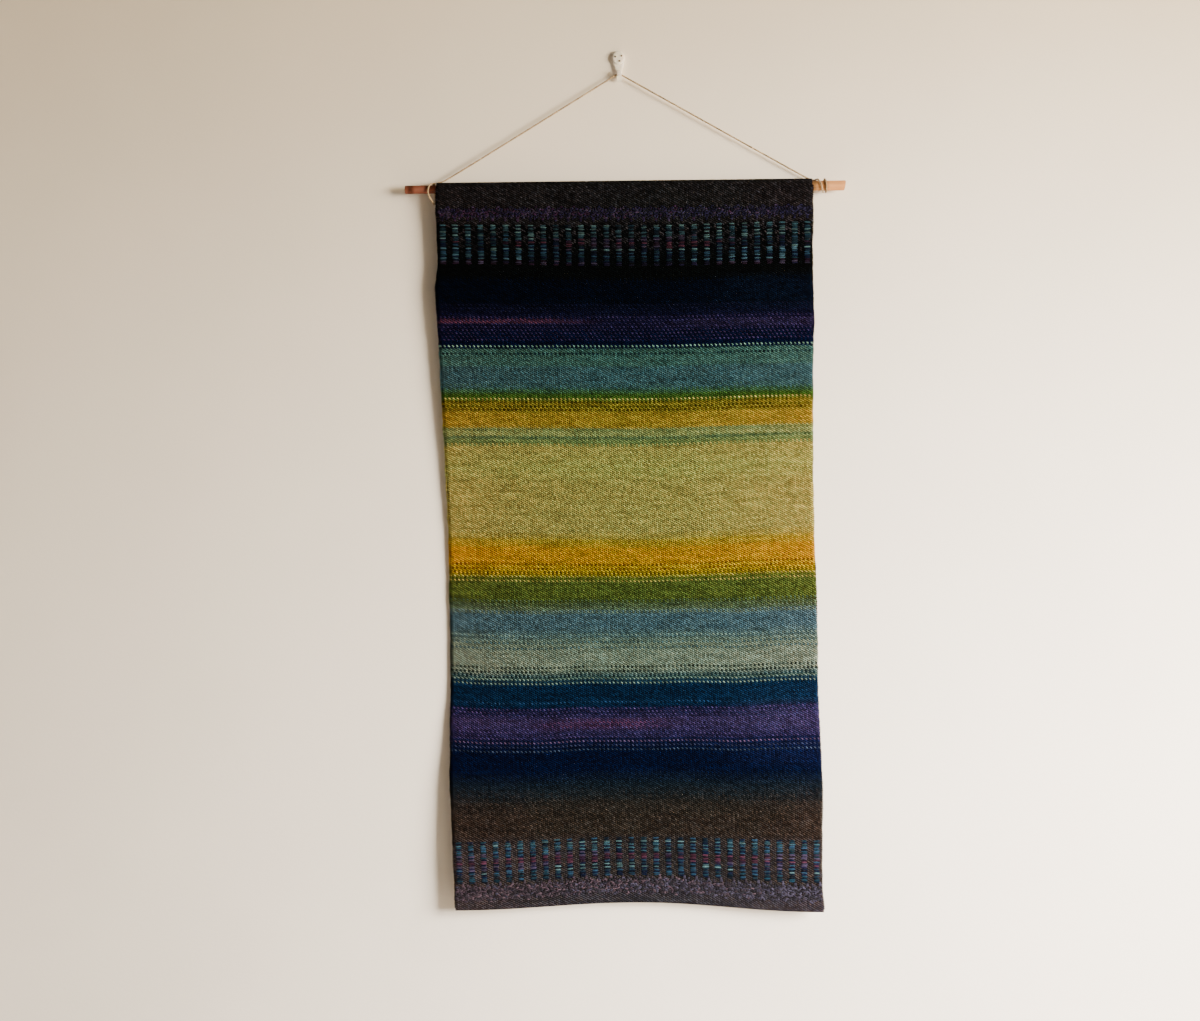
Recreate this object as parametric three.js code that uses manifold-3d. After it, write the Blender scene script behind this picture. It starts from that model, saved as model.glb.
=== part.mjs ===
// Woven wool wall rug with a sleeve over a wooden rod, hung by a cord from a small wall hook.
// Millimetres, +Z up. The face of the rug looks along -Y and the wall is the plane Y = 0.
// The origin is on the wall, behind the middle of the hook.
import * as THREE from "three";
import { mergeVertices } from "three/addons/utils/BufferGeometryUtils.js";
import Module from "manifold-3d";

const wasm = await Module();
wasm.setup();

// Rows of numbers under the names of their columns.
function table(names, ...rows) {
  return rows.map((row) => Object.fromEntries(names.map((name, i) => [name, row[i]])));
}

// Driving dimensions

const ROD = {
  left: -258.8, // x of the two ends
  right: 275.7,
  radiusLeft: 5.1,
  radiusRight: 6.1,
  fromWall: 12,
  axisHeight: -149.75, // z of the axis at x = 0
  rise: 0.01016, // the rod climbs slightly to the right
  chamfer: 0.9,
  obliqueCut: 0.15, // lean of the saw cut at the right end
  sides: 24,
};

const CLOTH = {
  thickness: 2.4,
  rodClearance: 0.45,
  layerGap: 0.6,
  sleeveMeets: 36, // where the back of the sleeve comes to lie on the front, down the cloth
  sleeveTail: 48, // where the back of the sleeve ends
  hemFlap: 26,
  settle: 60, // length over which the front leaves the rod's straight line
  columns: 16,
  rowSpacing: 17,
  // steps along the section: tail of the sleeve, its back, round the rod, round the hem, flap
  tailSteps: 2,
  sleeveSteps: 6,
  arcSteps: 12,
  foldSteps: 4,
  flapSteps: 2,
};

// The hanging front, one row for each woven line that shows. w is its distance down the cloth
// from the crest of the sleeve. left and right are the x of the two selvedges, zL, zM and zR the
// height of the line at the left, the middle and the right, and outL, outM and outR the distance
// from the wall to the face of the cloth there.
const FRONT = table(
  ["w", "left", "right", "zL", "zM", "zR", "outL", "outM", "outR"],
  [11.5, -220.3, 235.1, -152, -149.7, -147.4, 19.9, 20.4, 20.9], // level with the rod
  [33.4, -220.5, 235.3, -173.2, -172, -169.8, 18.5, 18.5, 19.5], // upper braid begins
  [56, -219.4, 235.4, -195.3, -196, -191.4, 17.5, 17.5, 18.5], // upper bars begin
  [105.4, -218.3, 235.5, -243.1, -245.5, -242.4, 16.5, 16, 17.5], // upper bars end
  [136, -221, 236.2, -274.6, -275.7, -272.3, 16, 15.5, 17], // dark blue
  [177.2, -218.2, 237.3, -316.9, -316.8, -312.8, 15, 14.5, 16], // violet streaks
  [202.4, -216.7, 236.3, -342, -342, -338, 14, 13.5, 15], // first dotted row
  [265.7, -213.5, 236.1, -405.2, -405.8, -401.1, 11.5, 11, 13], // green
  [325, -210.6, 236.4, -464.6, -465.8, -459.3, 9, 8.5, 11], // straw
  [389.2, -207.5, 237.2, -529.1, -530.3, -523, 6.5, 6.5, 9], // olive
  [445.4, -205.4, 238.6, -585.2, -587, -579, 4.8, 5, 7.5], // gold
  [499.3, -204.8, 241.2, -638.9, -641.3, -632.7, 4, 4.4, 6.5], // moss
  [556.4, -203.3, 242.2, -696.2, -698.6, -689.3, 3.8, 4.2, 6.5], // sage
  [613.7, -203, 242.6, -753.9, -755.9, -746.1, 4.6, 4.4, 8], // last dotted row
  [673.3, -203.7, 244.5, -813.8, -814.8, -806.1, 9, 6.5, 12], // lower violet
  [731.4, -203.1, 246.9, -872.4, -870.8, -866, 15, 10, 17], // lower dark blue
  [802.4, -199.8, 246.3, -943.4, -938.1, -940.7, 20, 14, 21], // lower bars begin
  [851.5, -197.5, 246.4, -993.6, -983.8, -992.1, 21, 16, 22], // lower bars end
  [886, -196.9, 249.2, -1026.5, -1017.7, -1028.4, 20, 16, 22], // turned edge
);

// The raised bars stand in two bands across the cloth, counted in warp ends from the left.
const BARS = {
  warpEnds: 179,
  count: 30,
  firstEnd: 2.5,
  pitchEnds: 6,
  halfWidthEnds: 1.55,
  slopeEnds: 0.15,
  height: 0.6,
  slopeDown: 0.5,
  bands: [
    { top: 56.0, bottom: 105.4 },
    { top: 802.4, bottom: 851.5 },
  ],
};

// The braided bands beside the bars are a little thicker than the plain cloth.
const BRAIDS = {
  height: 0.35,
  slopeDown: 1.5,
  bands: [
    { top: 33.4, bottom: 52.0 },
    { top: 854.0, bottom: 875.0 },
  ],
};

const CORD = {
  radius: 1.1,
  sides: 8,
  clearance: 0.4, // to what it lies against
  knot: { x: -224.0, y: -8.0, z: -144.9, radius: 2.4, long: 1.15 },
};

// Route of the cord from its tied end at the left of the rod to its turns at the right.
const CORD_ROUTE = [
  { part: "tail in the knot", x: -223.9, y: -6.1, z: -146.4 },
  { part: "up behind the rod", x: -223.6, y: -5.1, z: -148.6 },
  { part: "up behind the rod", x: -223.1, y: -4.6, z: -152.4 },
  { part: "up behind the rod", x: -222.7, y: -4.6, z: -157.2 },
  { part: "up behind the rod", x: -222.5, y: -5.0, z: -162.0 },
  { part: "foot of the loop", x: -222.6, y: -6.4, z: -166.4 },
  { part: "foot of the loop", x: -223.0, y: -9.2, z: -169.2 },
  { part: "foot of the loop", x: -223.8, y: -12.8, z: -169.6 },
  { part: "foot of the loop", x: -225.3, y: -15.9, z: -167.3 },
  { part: "front of the loop", x: -227.8, y: -18.1, z: -163.4 },
  { part: "front of the loop", x: -229.7, y: -19.2, z: -158.8 },
  { part: "front of the loop", x: -230.2, y: -19.3, z: -154.3 },
  { part: "front of the loop", x: -229.5, y: -18.7, z: -150.2 },
  { part: "front of the loop", x: -227.8, y: -16.6, z: -146.8 },
  { part: "over the rod", x: -225.8, y: -12.6, z: -145.0 },
  { part: "through the knot", x: -224.2, y: -9.0, z: -144.6 },
  { part: "behind the corner of the cloth", x: -221.8, y: -7.0, z: -143.9 },
  { part: "behind the corner of the cloth", x: -218.0, y: -6.8, z: -143.0 },
  { part: "left run", x: -212.6, y: -6.8, z: -141.2 },
  { part: "left run", x: -205.0, y: -6.8, z: -136.9 },
  { part: "left run", x: -113.3, y: -6.5, z: -80.4 },
  { part: "left run", x: -13.4, y: -6.3, z: -18.2 },
  { part: "left run", x: -5.0, y: -6.2, z: -12.9 },
  { part: "over the hook", x: -1.8, y: -6.2, z: -11.0 },
  { part: "over the hook", x: -0.6, y: -6.2, z: -10.4 },
  { part: "over the hook", x: 0.7, y: -6.2, z: -10.2 },
  { part: "over the hook", x: 2.0, y: -6.2, z: -10.4 },
  { part: "over the hook", x: 3.3, y: -6.2, z: -10.9 },
  { part: "right run", x: 7.0, y: -6.1, z: -12.9 },
  { part: "right run", x: 14.0, y: -6.1, z: -16.8 },
  { part: "right run", x: 118.0, y: -5.7, z: -74.6 },
  { part: "right run", x: 222.0, y: -4.9, z: -132.0 },
  { part: "behind the corner of the cloth", x: 230.0, y: -4.3, z: -136.1 },
  { part: "behind the corner of the cloth", x: 235.2, y: -4.3, z: -138.3 },
  { part: "down to the rod", x: 238.2, y: -6.0, z: -139.5 },
];

// Turns of the cord round the rod: angle from straight behind, up over the top to the front.
const CORD_TURNS = [
  { angle: 75, x: 240.4 },
  { angle: 105, x: 241.9 },
  { angle: 180, x: 245.6 },
  { angle: 270, x: 249.4 },
  { angle: 360, x: 250.3 },
  { angle: 450, x: 250.9 },
  { angle: 540, x: 252.0 },
  { angle: 630, x: 252.9 },
  { angle: 675, x: 253.4 },
];
const TURN_STEP = 30; // degrees
const TURN_SLACK = 0.3; // the cord's straight steps round the rod keep this much further out

const HOOK = {
  headX: 0.6,
  headZ: 10.4,
  headHalfWidth: 7.6,
  headHalfHeight: 8.5,
  lean: -2.1, // degrees, foot of the hook to the right
  sides: 32,
  // from the wall to the front of the head, and the radius where each step of its rim ends
  rim: [
    { radius: 1.0, out: 0 },
    { radius: 1.0, out: 3.2 },
    { radius: 0.94, out: 4.5 },
    { radius: 0.8, out: 5.1 },
  ],
  crown: 5.3,
  // half widths of the neck seen from the front, by height below the middle of the head
  neck: [
    { below: 4.0, half: 6.6 },
    { below: 8.7, half: 6.1 },
    { below: 14.0, half: 4.3 },
    { below: 19.9, half: 3.05 },
    { below: 27.6, half: 2.95 },
    { below: 29.4, half: 2.1 },
    { below: 30.0, half: 0.9 },
  ],
  neckOut: 4.0,
  slotOut: 8.4,
  prongOut: 11.4,
  prongTip: 16.6, // heights below the middle of the head
  slotFoot: 21.6,
  backFoot: 24.0,
  foot: 30.0,
  tipRound: 1.2,
  slotRound: 1.6,
  grooveReach: 16, // the cord's groove follows its route this far to each side
};

const PINS = {
  shaftRadius: 0.7,
  headRadius: 1.1,
  headHeight: 0.7,
  clearance: 0.33,
  sides: 12,
  places: [
    { name: "hook_pin_left", x: -3.7, z: 0.9 },
    { name: "hook_pin_right", x: 3.9, z: 1.7 },
    { name: "hook_pin_low", x: 1.2, z: -4.4 },
  ],
};

// Interpolation

// Smooth value of one named column of a table, by its first named column.
function column(rows, by, key, at) {
  const last = rows.length - 1;
  let i = rows.findIndex((row) => row[by] >= at);
  if (i === -1) i = last;
  i = Math.max(1, i);
  const slope = (k) => {
    const a = rows[Math.max(0, k - 1)];
    const b = rows[Math.min(last, k + 1)];
    return (b[key] - a[key]) / (b[by] - a[by]);
  };
  const low = rows[i - 1];
  const high = rows[i];
  const span = high[by] - low[by];
  const t = Math.min(1, Math.max(0, (at - low[by]) / span));
  const t2 = t * t;
  const t3 = t2 * t;
  return (
    (2 * t3 - 3 * t2 + 1) * low[key] +
    (t3 - 2 * t2 + t) * span * slope(i - 1) +
    (3 * t2 - 2 * t3) * high[key] +
    (t3 - t2) * span * slope(i)
  );
}

// From the left value to the middle one and on to the right one, level at all three.
function across(u, left, middle, right) {
  const half = u < 0.5 ? u * 2 : (u - 0.5) * 2;
  const ease = 0.5 - 0.5 * Math.cos(Math.PI * half);
  return u < 0.5
    ? THREE.MathUtils.lerp(left, middle, ease)
    : THREE.MathUtils.lerp(middle, right, ease);
}

const rodHeight = (x) => ROD.axisHeight + ROD.rise * x;
const rodRadius = (x) =>
  THREE.MathUtils.mapLinear(x, ROD.left, ROD.right, ROD.radiusLeft, ROD.radiusRight);

// Cloth

// x of a point at share u of the width and at distance w down the front.
function frontX(u, w) {
  return THREE.MathUtils.lerp(
    column(FRONT, "w", "left", w),
    column(FRONT, "w", "right", w),
    u,
  );
}

function tableHeight(u, w) {
  return across(u, ...["zL", "zM", "zR"].map((key) => column(FRONT, "w", key, w)));
}

function tableOut(u, w) {
  return across(u, ...["outL", "outM", "outR"].map((key) => column(FRONT, "w", key, w)));
}

const FIRST = FRONT[0].w;
const LAST = FRONT.at(-1).w;
const HALF = CLOTH.thickness / 2;
const LAYER = CLOTH.thickness + CLOTH.layerGap;
const FOLD_START = LAST - CLOTH.thickness - CLOTH.layerGap / 2; // where the hem begins to turn

const sleeveRadius = (x) => rodRadius(x) + CLOTH.rodClearance + HALF;

// Middle of the cloth's thickness on the hanging front, as [y, z].
function frontMiddle(u, w) {
  const x = frontX(u, FIRST);
  const near = 1 - THREE.MathUtils.smoothstep(w, FIRST, FIRST + CLOTH.settle);
  const rodOut = ROD.fromWall + sleeveRadius(x) + HALF;
  const out = tableOut(u, w) + near * (rodOut - tableOut(u, FIRST));
  const z = tableHeight(u, w) + near * (rodHeight(x) - tableHeight(u, FIRST));
  return [-(out - HALF), z];
}

// Unit direction from the front of the cloth towards the wall, square to it.
function towardsWall(u, w) {
  const step = 2;
  const [y0, z0] = frontMiddle(u, Math.max(FIRST, w - step));
  const [y1, z1] = frontMiddle(u, Math.min(LAST, w + step));
  const length = Math.hypot(y1 - y0, z1 - z0);
  return [(z0 - z1) / length, (y1 - y0) / length];
}

// Middle of a second layer that lies behind the front.
function behindFront(u, w) {
  const [y, z] = frontMiddle(u, w);
  const [ny, nz] = towardsWall(u, w);
  return [y + ny * LAYER, z + nz * LAYER];
}

// Stations along the cloth's section from the tail of the sleeve, over the rod, down the front
// and round the hem. Each has the w of its x and a function that gives its middle line.
function sectionStations() {
  const stations = [];
  for (let i = 0; i < CLOTH.tailSteps; i += 1) {
    const w = THREE.MathUtils.lerp(CLOTH.sleeveTail, CLOTH.sleeveMeets, i / CLOTH.tailSteps);
    stations.push({ w, middle: (u) => behindFront(u, w) });
  }
  for (let i = 0; i < CLOTH.sleeveSteps; i += 1) {
    const t = i / CLOTH.sleeveSteps;
    const w = THREE.MathUtils.lerp(CLOTH.sleeveMeets, FIRST, t);
    stations.push({ w, middle: (u) => sleeveBack(u, t) });
  }
  for (let i = 0; i < CLOTH.arcSteps; i += 1) {
    const angle = (Math.PI * i) / CLOTH.arcSteps;
    stations.push({ w: FIRST, middle: (u) => aroundRod(u, angle) });
  }
  for (const row of frontRows()) {
    stations.push({ ...row, middle: (u) => frontMiddle(u, row.w) });
  }
  for (let i = 1; i < CLOTH.foldSteps; i += 1) {
    const angle = (Math.PI * i) / CLOTH.foldSteps;
    stations.push({ w: LAST, middle: (u) => aroundHem(u, angle) });
  }
  for (let i = 0; i <= CLOTH.flapSteps; i += 1) {
    const w = FOLD_START - (CLOTH.hemFlap * i) / CLOTH.flapSteps;
    stations.push({ w, middle: (u) => behindFront(u, w) });
  }
  return stations;
}

// The back of the sleeve comes up from the front layer and meets the rod from straight below.
function sleeveBack(u, t) {
  const x = frontX(u, FIRST);
  const foot = behindFront(u, CLOTH.sleeveMeets);
  const head = [-ROD.fromWall + sleeveRadius(x), rodHeight(x)];
  const rise = head[1] - foot[1];
  const footLean = towardsWall(u, CLOTH.sleeveMeets);
  const footTangent = [-footLean[1] * rise, footLean[0] * rise];
  const headTangent = [0, rise];
  return [0, 1].map((k) => {
    const t2 = t * t;
    const t3 = t2 * t;
    return (
      (2 * t3 - 3 * t2 + 1) * foot[k] +
      (t3 - 2 * t2 + t) * footTangent[k] +
      (3 * t2 - 2 * t3) * head[k] +
      (t3 - t2) * headTangent[k]
    );
  });
}

function aroundRod(u, angle) {
  const x = frontX(u, FIRST);
  const radius = sleeveRadius(x);
  return [-ROD.fromWall + radius * Math.cos(angle), rodHeight(x) + radius * Math.sin(angle)];
}

function aroundHem(u, angle) {
  const [y, z] = frontMiddle(u, FOLD_START);
  const [ny, nz] = towardsWall(u, FOLD_START);
  const reach = LAYER / 2;
  const along = 1 - Math.cos(angle);
  const down = Math.sin(angle);
  return [y + reach * (ny * along + nz * down), z + reach * (nz * along - ny * down)];
}

// Rows of the front: evenly spaced plain ones, and those that the raised bands need.
function frontRows() {
  const special = [];
  for (const band of BARS.bands) {
    const middle = (band.top + band.bottom) / 2;
    special.push({ w: band.top - BARS.slopeDown, bars: 0 });
    special.push({ w: band.top + BARS.slopeDown, bars: BARS.height });
    special.push({ w: middle, bars: BARS.height });
    special.push({ w: band.bottom - BARS.slopeDown, bars: BARS.height });
    special.push({ w: band.bottom + BARS.slopeDown, bars: 0 });
  }
  for (const band of BRAIDS.bands) {
    special.push({ w: band.top, raise: 0 });
    special.push({ w: band.top + BRAIDS.slopeDown, raise: BRAIDS.height });
    special.push({ w: band.bottom - BRAIDS.slopeDown, raise: BRAIDS.height });
    special.push({ w: band.bottom, raise: 0 });
  }
  const rows = [...special, { w: FIRST }, { w: FOLD_START }];
  const nearest = (w) => Math.min(...rows.map((row) => Math.abs(row.w - w)));
  const plain = Math.round((FOLD_START - FIRST) / CLOTH.rowSpacing);
  for (let i = 1; i < plain; i += 1) {
    const w = THREE.MathUtils.lerp(FIRST, FOLD_START, i / plain);
    const inBand = BARS.bands.some((band) => w > band.top && w < band.bottom);
    if (!inBand && nearest(w) > CLOTH.rowSpacing / 3) rows.push({ w });
  }
  return rows.sort((a, b) => a.w - b.w);
}

// Places across the cloth where the outer face has points, with the share of the bar's height.
function outerColumns(station) {
  if (station.bars === undefined) return plainColumns();
  const columns = [{ u: 0, lift: 0 }];
  const top = BARS.halfWidthEnds - BARS.slopeEnds;
  const foot = BARS.halfWidthEnds + BARS.slopeEnds;
  for (let k = 0; k < BARS.count; k += 1) {
    const centre = BARS.firstEnd + BARS.pitchEnds * k;
    columns.push({ u: (centre - foot) / BARS.warpEnds, lift: 0 });
    columns.push({ u: (centre - top) / BARS.warpEnds, lift: 1 });
    columns.push({ u: (centre + top) / BARS.warpEnds, lift: 1 });
    columns.push({ u: (centre + foot) / BARS.warpEnds, lift: 0 });
  }
  columns.push({ u: 1, lift: 0 });
  return columns;
}

function plainColumns() {
  return Array.from({ length: CLOTH.columns + 1 }, (_, i) => ({
    u: i / CLOTH.columns,
    lift: 0,
  }));
}

// Unit normal of the section at station i, away from the rod and the wall on the front.
function stationNormal(stations, i, u) {
  const before = stations[Math.max(0, i - 1)].middle(u);
  const after = stations[Math.min(stations.length - 1, i + 1)].middle(u);
  const length = Math.hypot(after[0] - before[0], after[1] - before[1]);
  return [(after[1] - before[1]) / length, -(after[0] - before[0]) / length];
}

// Triangles between two rows of points that are sorted by u, whatever their numbers.
function zip(rowA, rowB, addTriangle) {
  let i = 0;
  let j = 0;
  while (i < rowA.length - 1 || j < rowB.length - 1) {
    const nextA = i < rowA.length - 1 ? rowA[i + 1].u : Infinity;
    const nextB = j < rowB.length - 1 ? rowB[j + 1].u : Infinity;
    if (nextA <= nextB) {
      addTriangle(rowA[i].index, rowA[i + 1].index, rowB[j].index);
      i += 1;
    } else {
      addTriangle(rowA[i].index, rowB[j + 1].index, rowB[j].index);
      j += 1;
    }
  }
}

function clothGeometry() {
  const stations = sectionStations();
  const positions = [];
  const indices = [];
  const face = (a, b, c) => indices.push(a, b, c);
  const flipped = (a, b, c) => indices.push(a, c, b);

  const rowOfPoints = (station, i, columns, side) =>
    columns.map(({ u, lift }) => {
      const [y, z] = station.middle(u);
      const [ny, nz] = stationNormal(stations, i, u);
      const raise = side > 0 ? (station.raise ?? 0) + lift * (station.bars ?? 0) : 0;
      const reach = side * HALF + raise;
      positions.push(frontX(u, station.w), y + ny * reach, z + nz * reach);
      return { u, index: positions.length / 3 - 1 };
    });

  const rings = stations.map((station, i) => ({
    outer: rowOfPoints(station, i, outerColumns(station), 1),
    inner: rowOfPoints(station, i, plainColumns(), -1),
  }));
  rings.slice(1).forEach((ring, i) => {
    const before = rings[i];
    zip(before.outer, ring.outer, flipped);
    zip(before.inner, ring.inner, face);
    const selvedge = (pick, add) => {
      const [a, b] = [before.outer.at(pick).index, ring.outer.at(pick).index];
      const [c, d] = [ring.inner.at(pick).index, before.inner.at(pick).index];
      add(a, b, c);
      add(a, c, d);
    };
    selvedge(0, flipped);
    selvedge(-1, face);
  });
  zip(rings[0].outer, rings[0].inner, face);
  zip(rings.at(-1).outer, rings.at(-1).inner, flipped);

  const geometry = new THREE.BufferGeometry();
  geometry.setAttribute("position", new THREE.Float32BufferAttribute(positions, 3));
  geometry.setIndex(indices);
  geometry.computeVertexNormals();
  return geometry;
}

// Solids for cutting and joining

function solid(geometry) {
  const bare = geometry.clone();
  bare.deleteAttribute("normal");
  bare.deleteAttribute("uv");
  const merged = mergeVertices(bare, 1e-4);
  return new wasm.Manifold(
    new wasm.Mesh({
      numProp: 3,
      vertProperties: merged.attributes.position.array,
      triVerts: new Uint32Array(merged.index.array),
    }),
  );
}

function geometryOf(manifold) {
  const mesh = manifold.getMesh();
  const geometry = new THREE.BufferGeometry();
  geometry.setAttribute("position", new THREE.BufferAttribute(mesh.vertProperties, 3));
  geometry.setIndex(new THREE.BufferAttribute(mesh.triVerts, 1));
  geometry.computeVertexNormals();
  return geometry;
}

// Rod

function rodGeometry() {
  const length = ROD.right - ROD.left;
  const cut = ROD.chamfer;
  const profile = [
    new THREE.Vector2(0, 0),
    new THREE.Vector2(ROD.radiusLeft - cut, 0),
    new THREE.Vector2(ROD.radiusLeft, cut),
    new THREE.Vector2(ROD.radiusRight, length - cut),
    new THREE.Vector2(ROD.radiusRight - cut, length),
    new THREE.Vector2(0, length),
  ];
  const geometry = new THREE.LatheGeometry(profile, ROD.sides);
  geometry.applyMatrix4(
    new THREE.Matrix4().makeBasis(
      new THREE.Vector3(0, 0, 1),
      new THREE.Vector3(1, 0, 0),
      new THREE.Vector3(0, 1, 0),
    ),
  );
  const points = geometry.attributes.position;
  for (let i = 0; i < points.count; i += 1) {
    const atRight = points.getX(i) > length / 2;
    if (atRight) points.setX(i, points.getX(i) + ROD.obliqueCut * points.getZ(i));
  }
  return geometry;
}

// Cord

// A smooth route whose steps fall on its chosen points.
class Route extends THREE.Curve {
  constructor(points) {
    super();
    this.spline = new THREE.CatmullRomCurve3(points, false, "centripetal");
  }
  getPoint(t, target) {
    return this.spline.getPoint(t, target);
  }
  getPointAt(t, target) {
    return this.spline.getPoint(t, target);
  }
  getTangentAt(t, target) {
    return this.spline.getTangent(t, target);
  }
}

function turnPoints() {
  const points = [];
  const reach = CORD.radius + CORD.clearance + TURN_SLACK;
  for (let angle = CORD_TURNS[0].angle; angle <= CORD_TURNS.at(-1).angle; angle += TURN_STEP) {
    const x = column(CORD_TURNS, "angle", "x", angle);
    const radius = rodRadius(x) + reach;
    const turn = THREE.MathUtils.degToRad(angle);
    const y = -ROD.fromWall + radius * Math.cos(turn);
    points.push(new THREE.Vector3(x, y, rodHeight(x) + radius * Math.sin(turn)));
  }
  return points;
}

function routePoints() {
  return [...CORD_ROUTE.map(({ x, y, z }) => new THREE.Vector3(x, y, z)), ...turnPoints()];
}

function tube(points, radius, sides) {
  const rim = Array.from({ length: sides }, (_, i) => {
    const angle = (2 * Math.PI * i) / sides;
    return new THREE.Vector2(radius * Math.cos(angle), radius * Math.sin(angle));
  });
  return new THREE.ExtrudeGeometry(new THREE.Shape(rim), {
    steps: points.length - 1,
    extrudePath: new Route(points),
    bevelEnabled: false,
  });
}

function cordGeometry() {
  const { x, y, z, radius, long } = CORD.knot;
  const knot = new THREE.IcosahedronGeometry(radius, 3);
  knot.scale(1, 1, long);
  knot.translate(x, y, z);
  const line = solid(tube(routePoints(), CORD.radius, CORD.sides));
  return geometryOf(line.add(solid(knot)));
}

// Hook, in its own upright frame with the middle of the head at the origin

function hookHead() {
  const profile = HOOK.rim.map(({ radius, out }) => new THREE.Vector2(radius, -out));
  profile.unshift(new THREE.Vector2(0, 0));
  profile.push(new THREE.Vector2(0, -HOOK.crown));
  const geometry = new THREE.LatheGeometry(profile.reverse(), HOOK.sides);
  geometry.scale(HOOK.headHalfWidth, 1, HOOK.headHalfHeight);
  return solid(geometry);
}

// The neck and prong seen from the side, extruded across.
function hookSide() {
  const { neckOut, slotOut, prongOut, prongTip, slotFoot, backFoot, foot } = HOOK;
  const { tipRound, slotRound } = HOOK;
  const side = new THREE.Shape();
  side.moveTo(0, 0);
  side.lineTo(0, -backFoot);
  side.quadraticCurveTo(0, -foot, -prongOut / 2, -foot);
  side.quadraticCurveTo(-prongOut, -foot, -prongOut, -backFoot);
  side.lineTo(-prongOut, -prongTip - tipRound);
  side.quadraticCurveTo(-prongOut, -prongTip, -prongOut + tipRound, -prongTip);
  side.quadraticCurveTo(-slotOut, -prongTip, -slotOut, -prongTip - tipRound);
  side.lineTo(-slotOut, -slotFoot + slotRound);
  side.quadraticCurveTo(-slotOut, -slotFoot, -slotOut + slotRound, -slotFoot);
  side.lineTo(-neckOut - slotRound, -slotFoot);
  side.quadraticCurveTo(-neckOut, -slotFoot, -neckOut, -slotFoot + slotRound);
  side.lineTo(-neckOut, 0);
  side.closePath();
  const width = 2 * HOOK.headHalfWidth;
  const geometry = new THREE.ExtrudeGeometry(side, {
    depth: width,
    bevelEnabled: false,
    curveSegments: 6,
  });
  geometry.translate(0, 0, -width / 2);
  geometry.applyMatrix4(
    new THREE.Matrix4().makeBasis(
      new THREE.Vector3(0, 1, 0),
      new THREE.Vector3(0, 0, 1),
      new THREE.Vector3(1, 0, 0),
    ),
  );
  return solid(geometry);
}

// The outline of the neck seen from the front, extruded away from the wall.
function hookFront() {
  const right = HOOK.neck.map(({ below, half }) => new THREE.Vector2(half, -below));
  const left = HOOK.neck.map(({ below, half }) => new THREE.Vector2(-half, -below)).reverse();
  const depth = HOOK.prongOut + 2;
  const geometry = new THREE.ExtrudeGeometry(new THREE.Shape([...right, ...left]), {
    depth,
    bevelEnabled: false,
  });
  geometry.translate(0, 0, -1);
  geometry.applyMatrix4(
    new THREE.Matrix4().makeBasis(
      new THREE.Vector3(1, 0, 0),
      new THREE.Vector3(0, 0, 1),
      new THREE.Vector3(0, -1, 0),
    ),
  );
  return solid(geometry);
}

const hookPlace = new THREE.Matrix4()
  .makeTranslation(HOOK.headX, 0, HOOK.headZ)
  .multiply(new THREE.Matrix4().makeRotationY(THREE.MathUtils.degToRad(HOOK.lean)));

// The groove that the cord lies in, in the hook's own frame.
function cordGroove() {
  const overHook = CORD_ROUTE.filter(({ x }) => Math.abs(x) < HOOK.grooveReach);
  const points = overHook.map(({ x, y, z }) => new THREE.Vector3(x, y, z));
  const groove = tube(points, CORD.radius + CORD.clearance, CORD.sides);
  groove.applyMatrix4(hookPlace.clone().invert());
  return solid(groove);
}

function pinShape(radius, from, to) {
  const pin = new THREE.CylinderGeometry(radius, radius, to - from, PINS.sides);
  pin.translate(0, -(from + to) / 2, 0);
  return pin;
}

function hookGeometry() {
  let hook = hookHead().add(hookSide().intersect(hookFront()));
  hook = hook.subtract(cordGroove());
  for (const { x, z } of PINS.places) {
    const hole = pinShape(PINS.shaftRadius + PINS.clearance, -1, HOOK.crown + 1);
    hole.translate(x, 0, z);
    hook = hook.subtract(solid(hole));
  }
  return geometryOf(hook);
}

function pinGeometry({ x, z }) {
  const headFrom = HOOK.crown + PINS.clearance;
  const shaft = solid(pinShape(PINS.shaftRadius, 0, headFrom + PINS.headHeight / 2));
  const head = solid(pinShape(PINS.headRadius, headFrom, headFrom + PINS.headHeight));
  const pin = geometryOf(shaft.add(head));
  pin.translate(x, 0, z);
  return pin;
}

// Materials

const wool = new THREE.MeshStandardMaterial({ color: 0x4a5a4e, roughness: 0.95, metalness: 0 });
const wood = new THREE.MeshStandardMaterial({ color: 0xb07a50, roughness: 0.6, metalness: 0 });
const twine = new THREE.MeshStandardMaterial({ color: 0xc4a482, roughness: 0.85, metalness: 0 });
const plastic = new THREE.MeshStandardMaterial({ color: 0xe2dacb, roughness: 0.4, metalness: 0 });
const steel = new THREE.MeshStandardMaterial({ color: 0x7c7468, roughness: 0.4, metalness: 0.9 });

function part(name, geometry, material) {
  const mesh = new THREE.Mesh(geometry, material);
  mesh.name = name;
  return mesh;
}

// Assembly

const rug = new THREE.Group();
rug.add(part("cloth", clothGeometry(), wool));

const rod = part("rod", rodGeometry(), wood);
rod.position.set(ROD.left, -ROD.fromWall, rodHeight(ROD.left));
rod.rotation.y = -Math.atan(ROD.rise);
rug.add(rod);

rug.add(part("hanging_cord", cordGeometry(), twine));

const hookGroup = new THREE.Group();
hookGroup.position.set(HOOK.headX, 0, HOOK.headZ);
hookGroup.rotation.y = THREE.MathUtils.degToRad(HOOK.lean);
hookGroup.add(part("hook", hookGeometry(), plastic));
for (const place of PINS.places) {
  hookGroup.add(part(place.name, pinGeometry(place), steel));
}
rug.add(hookGroup);

export default rug;
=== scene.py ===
"""Looks of a woven wool wall rug: its rod, its hanging cord and the small wall hook that carries it.

Metres, +Z up. The face of the rug looks along -Y and the wall is the plane Y = 0, as in the CAD model.
Tables that repeat the CAD model's sizes are in millimetres and are turned to metres where they are used.
"""

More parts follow.
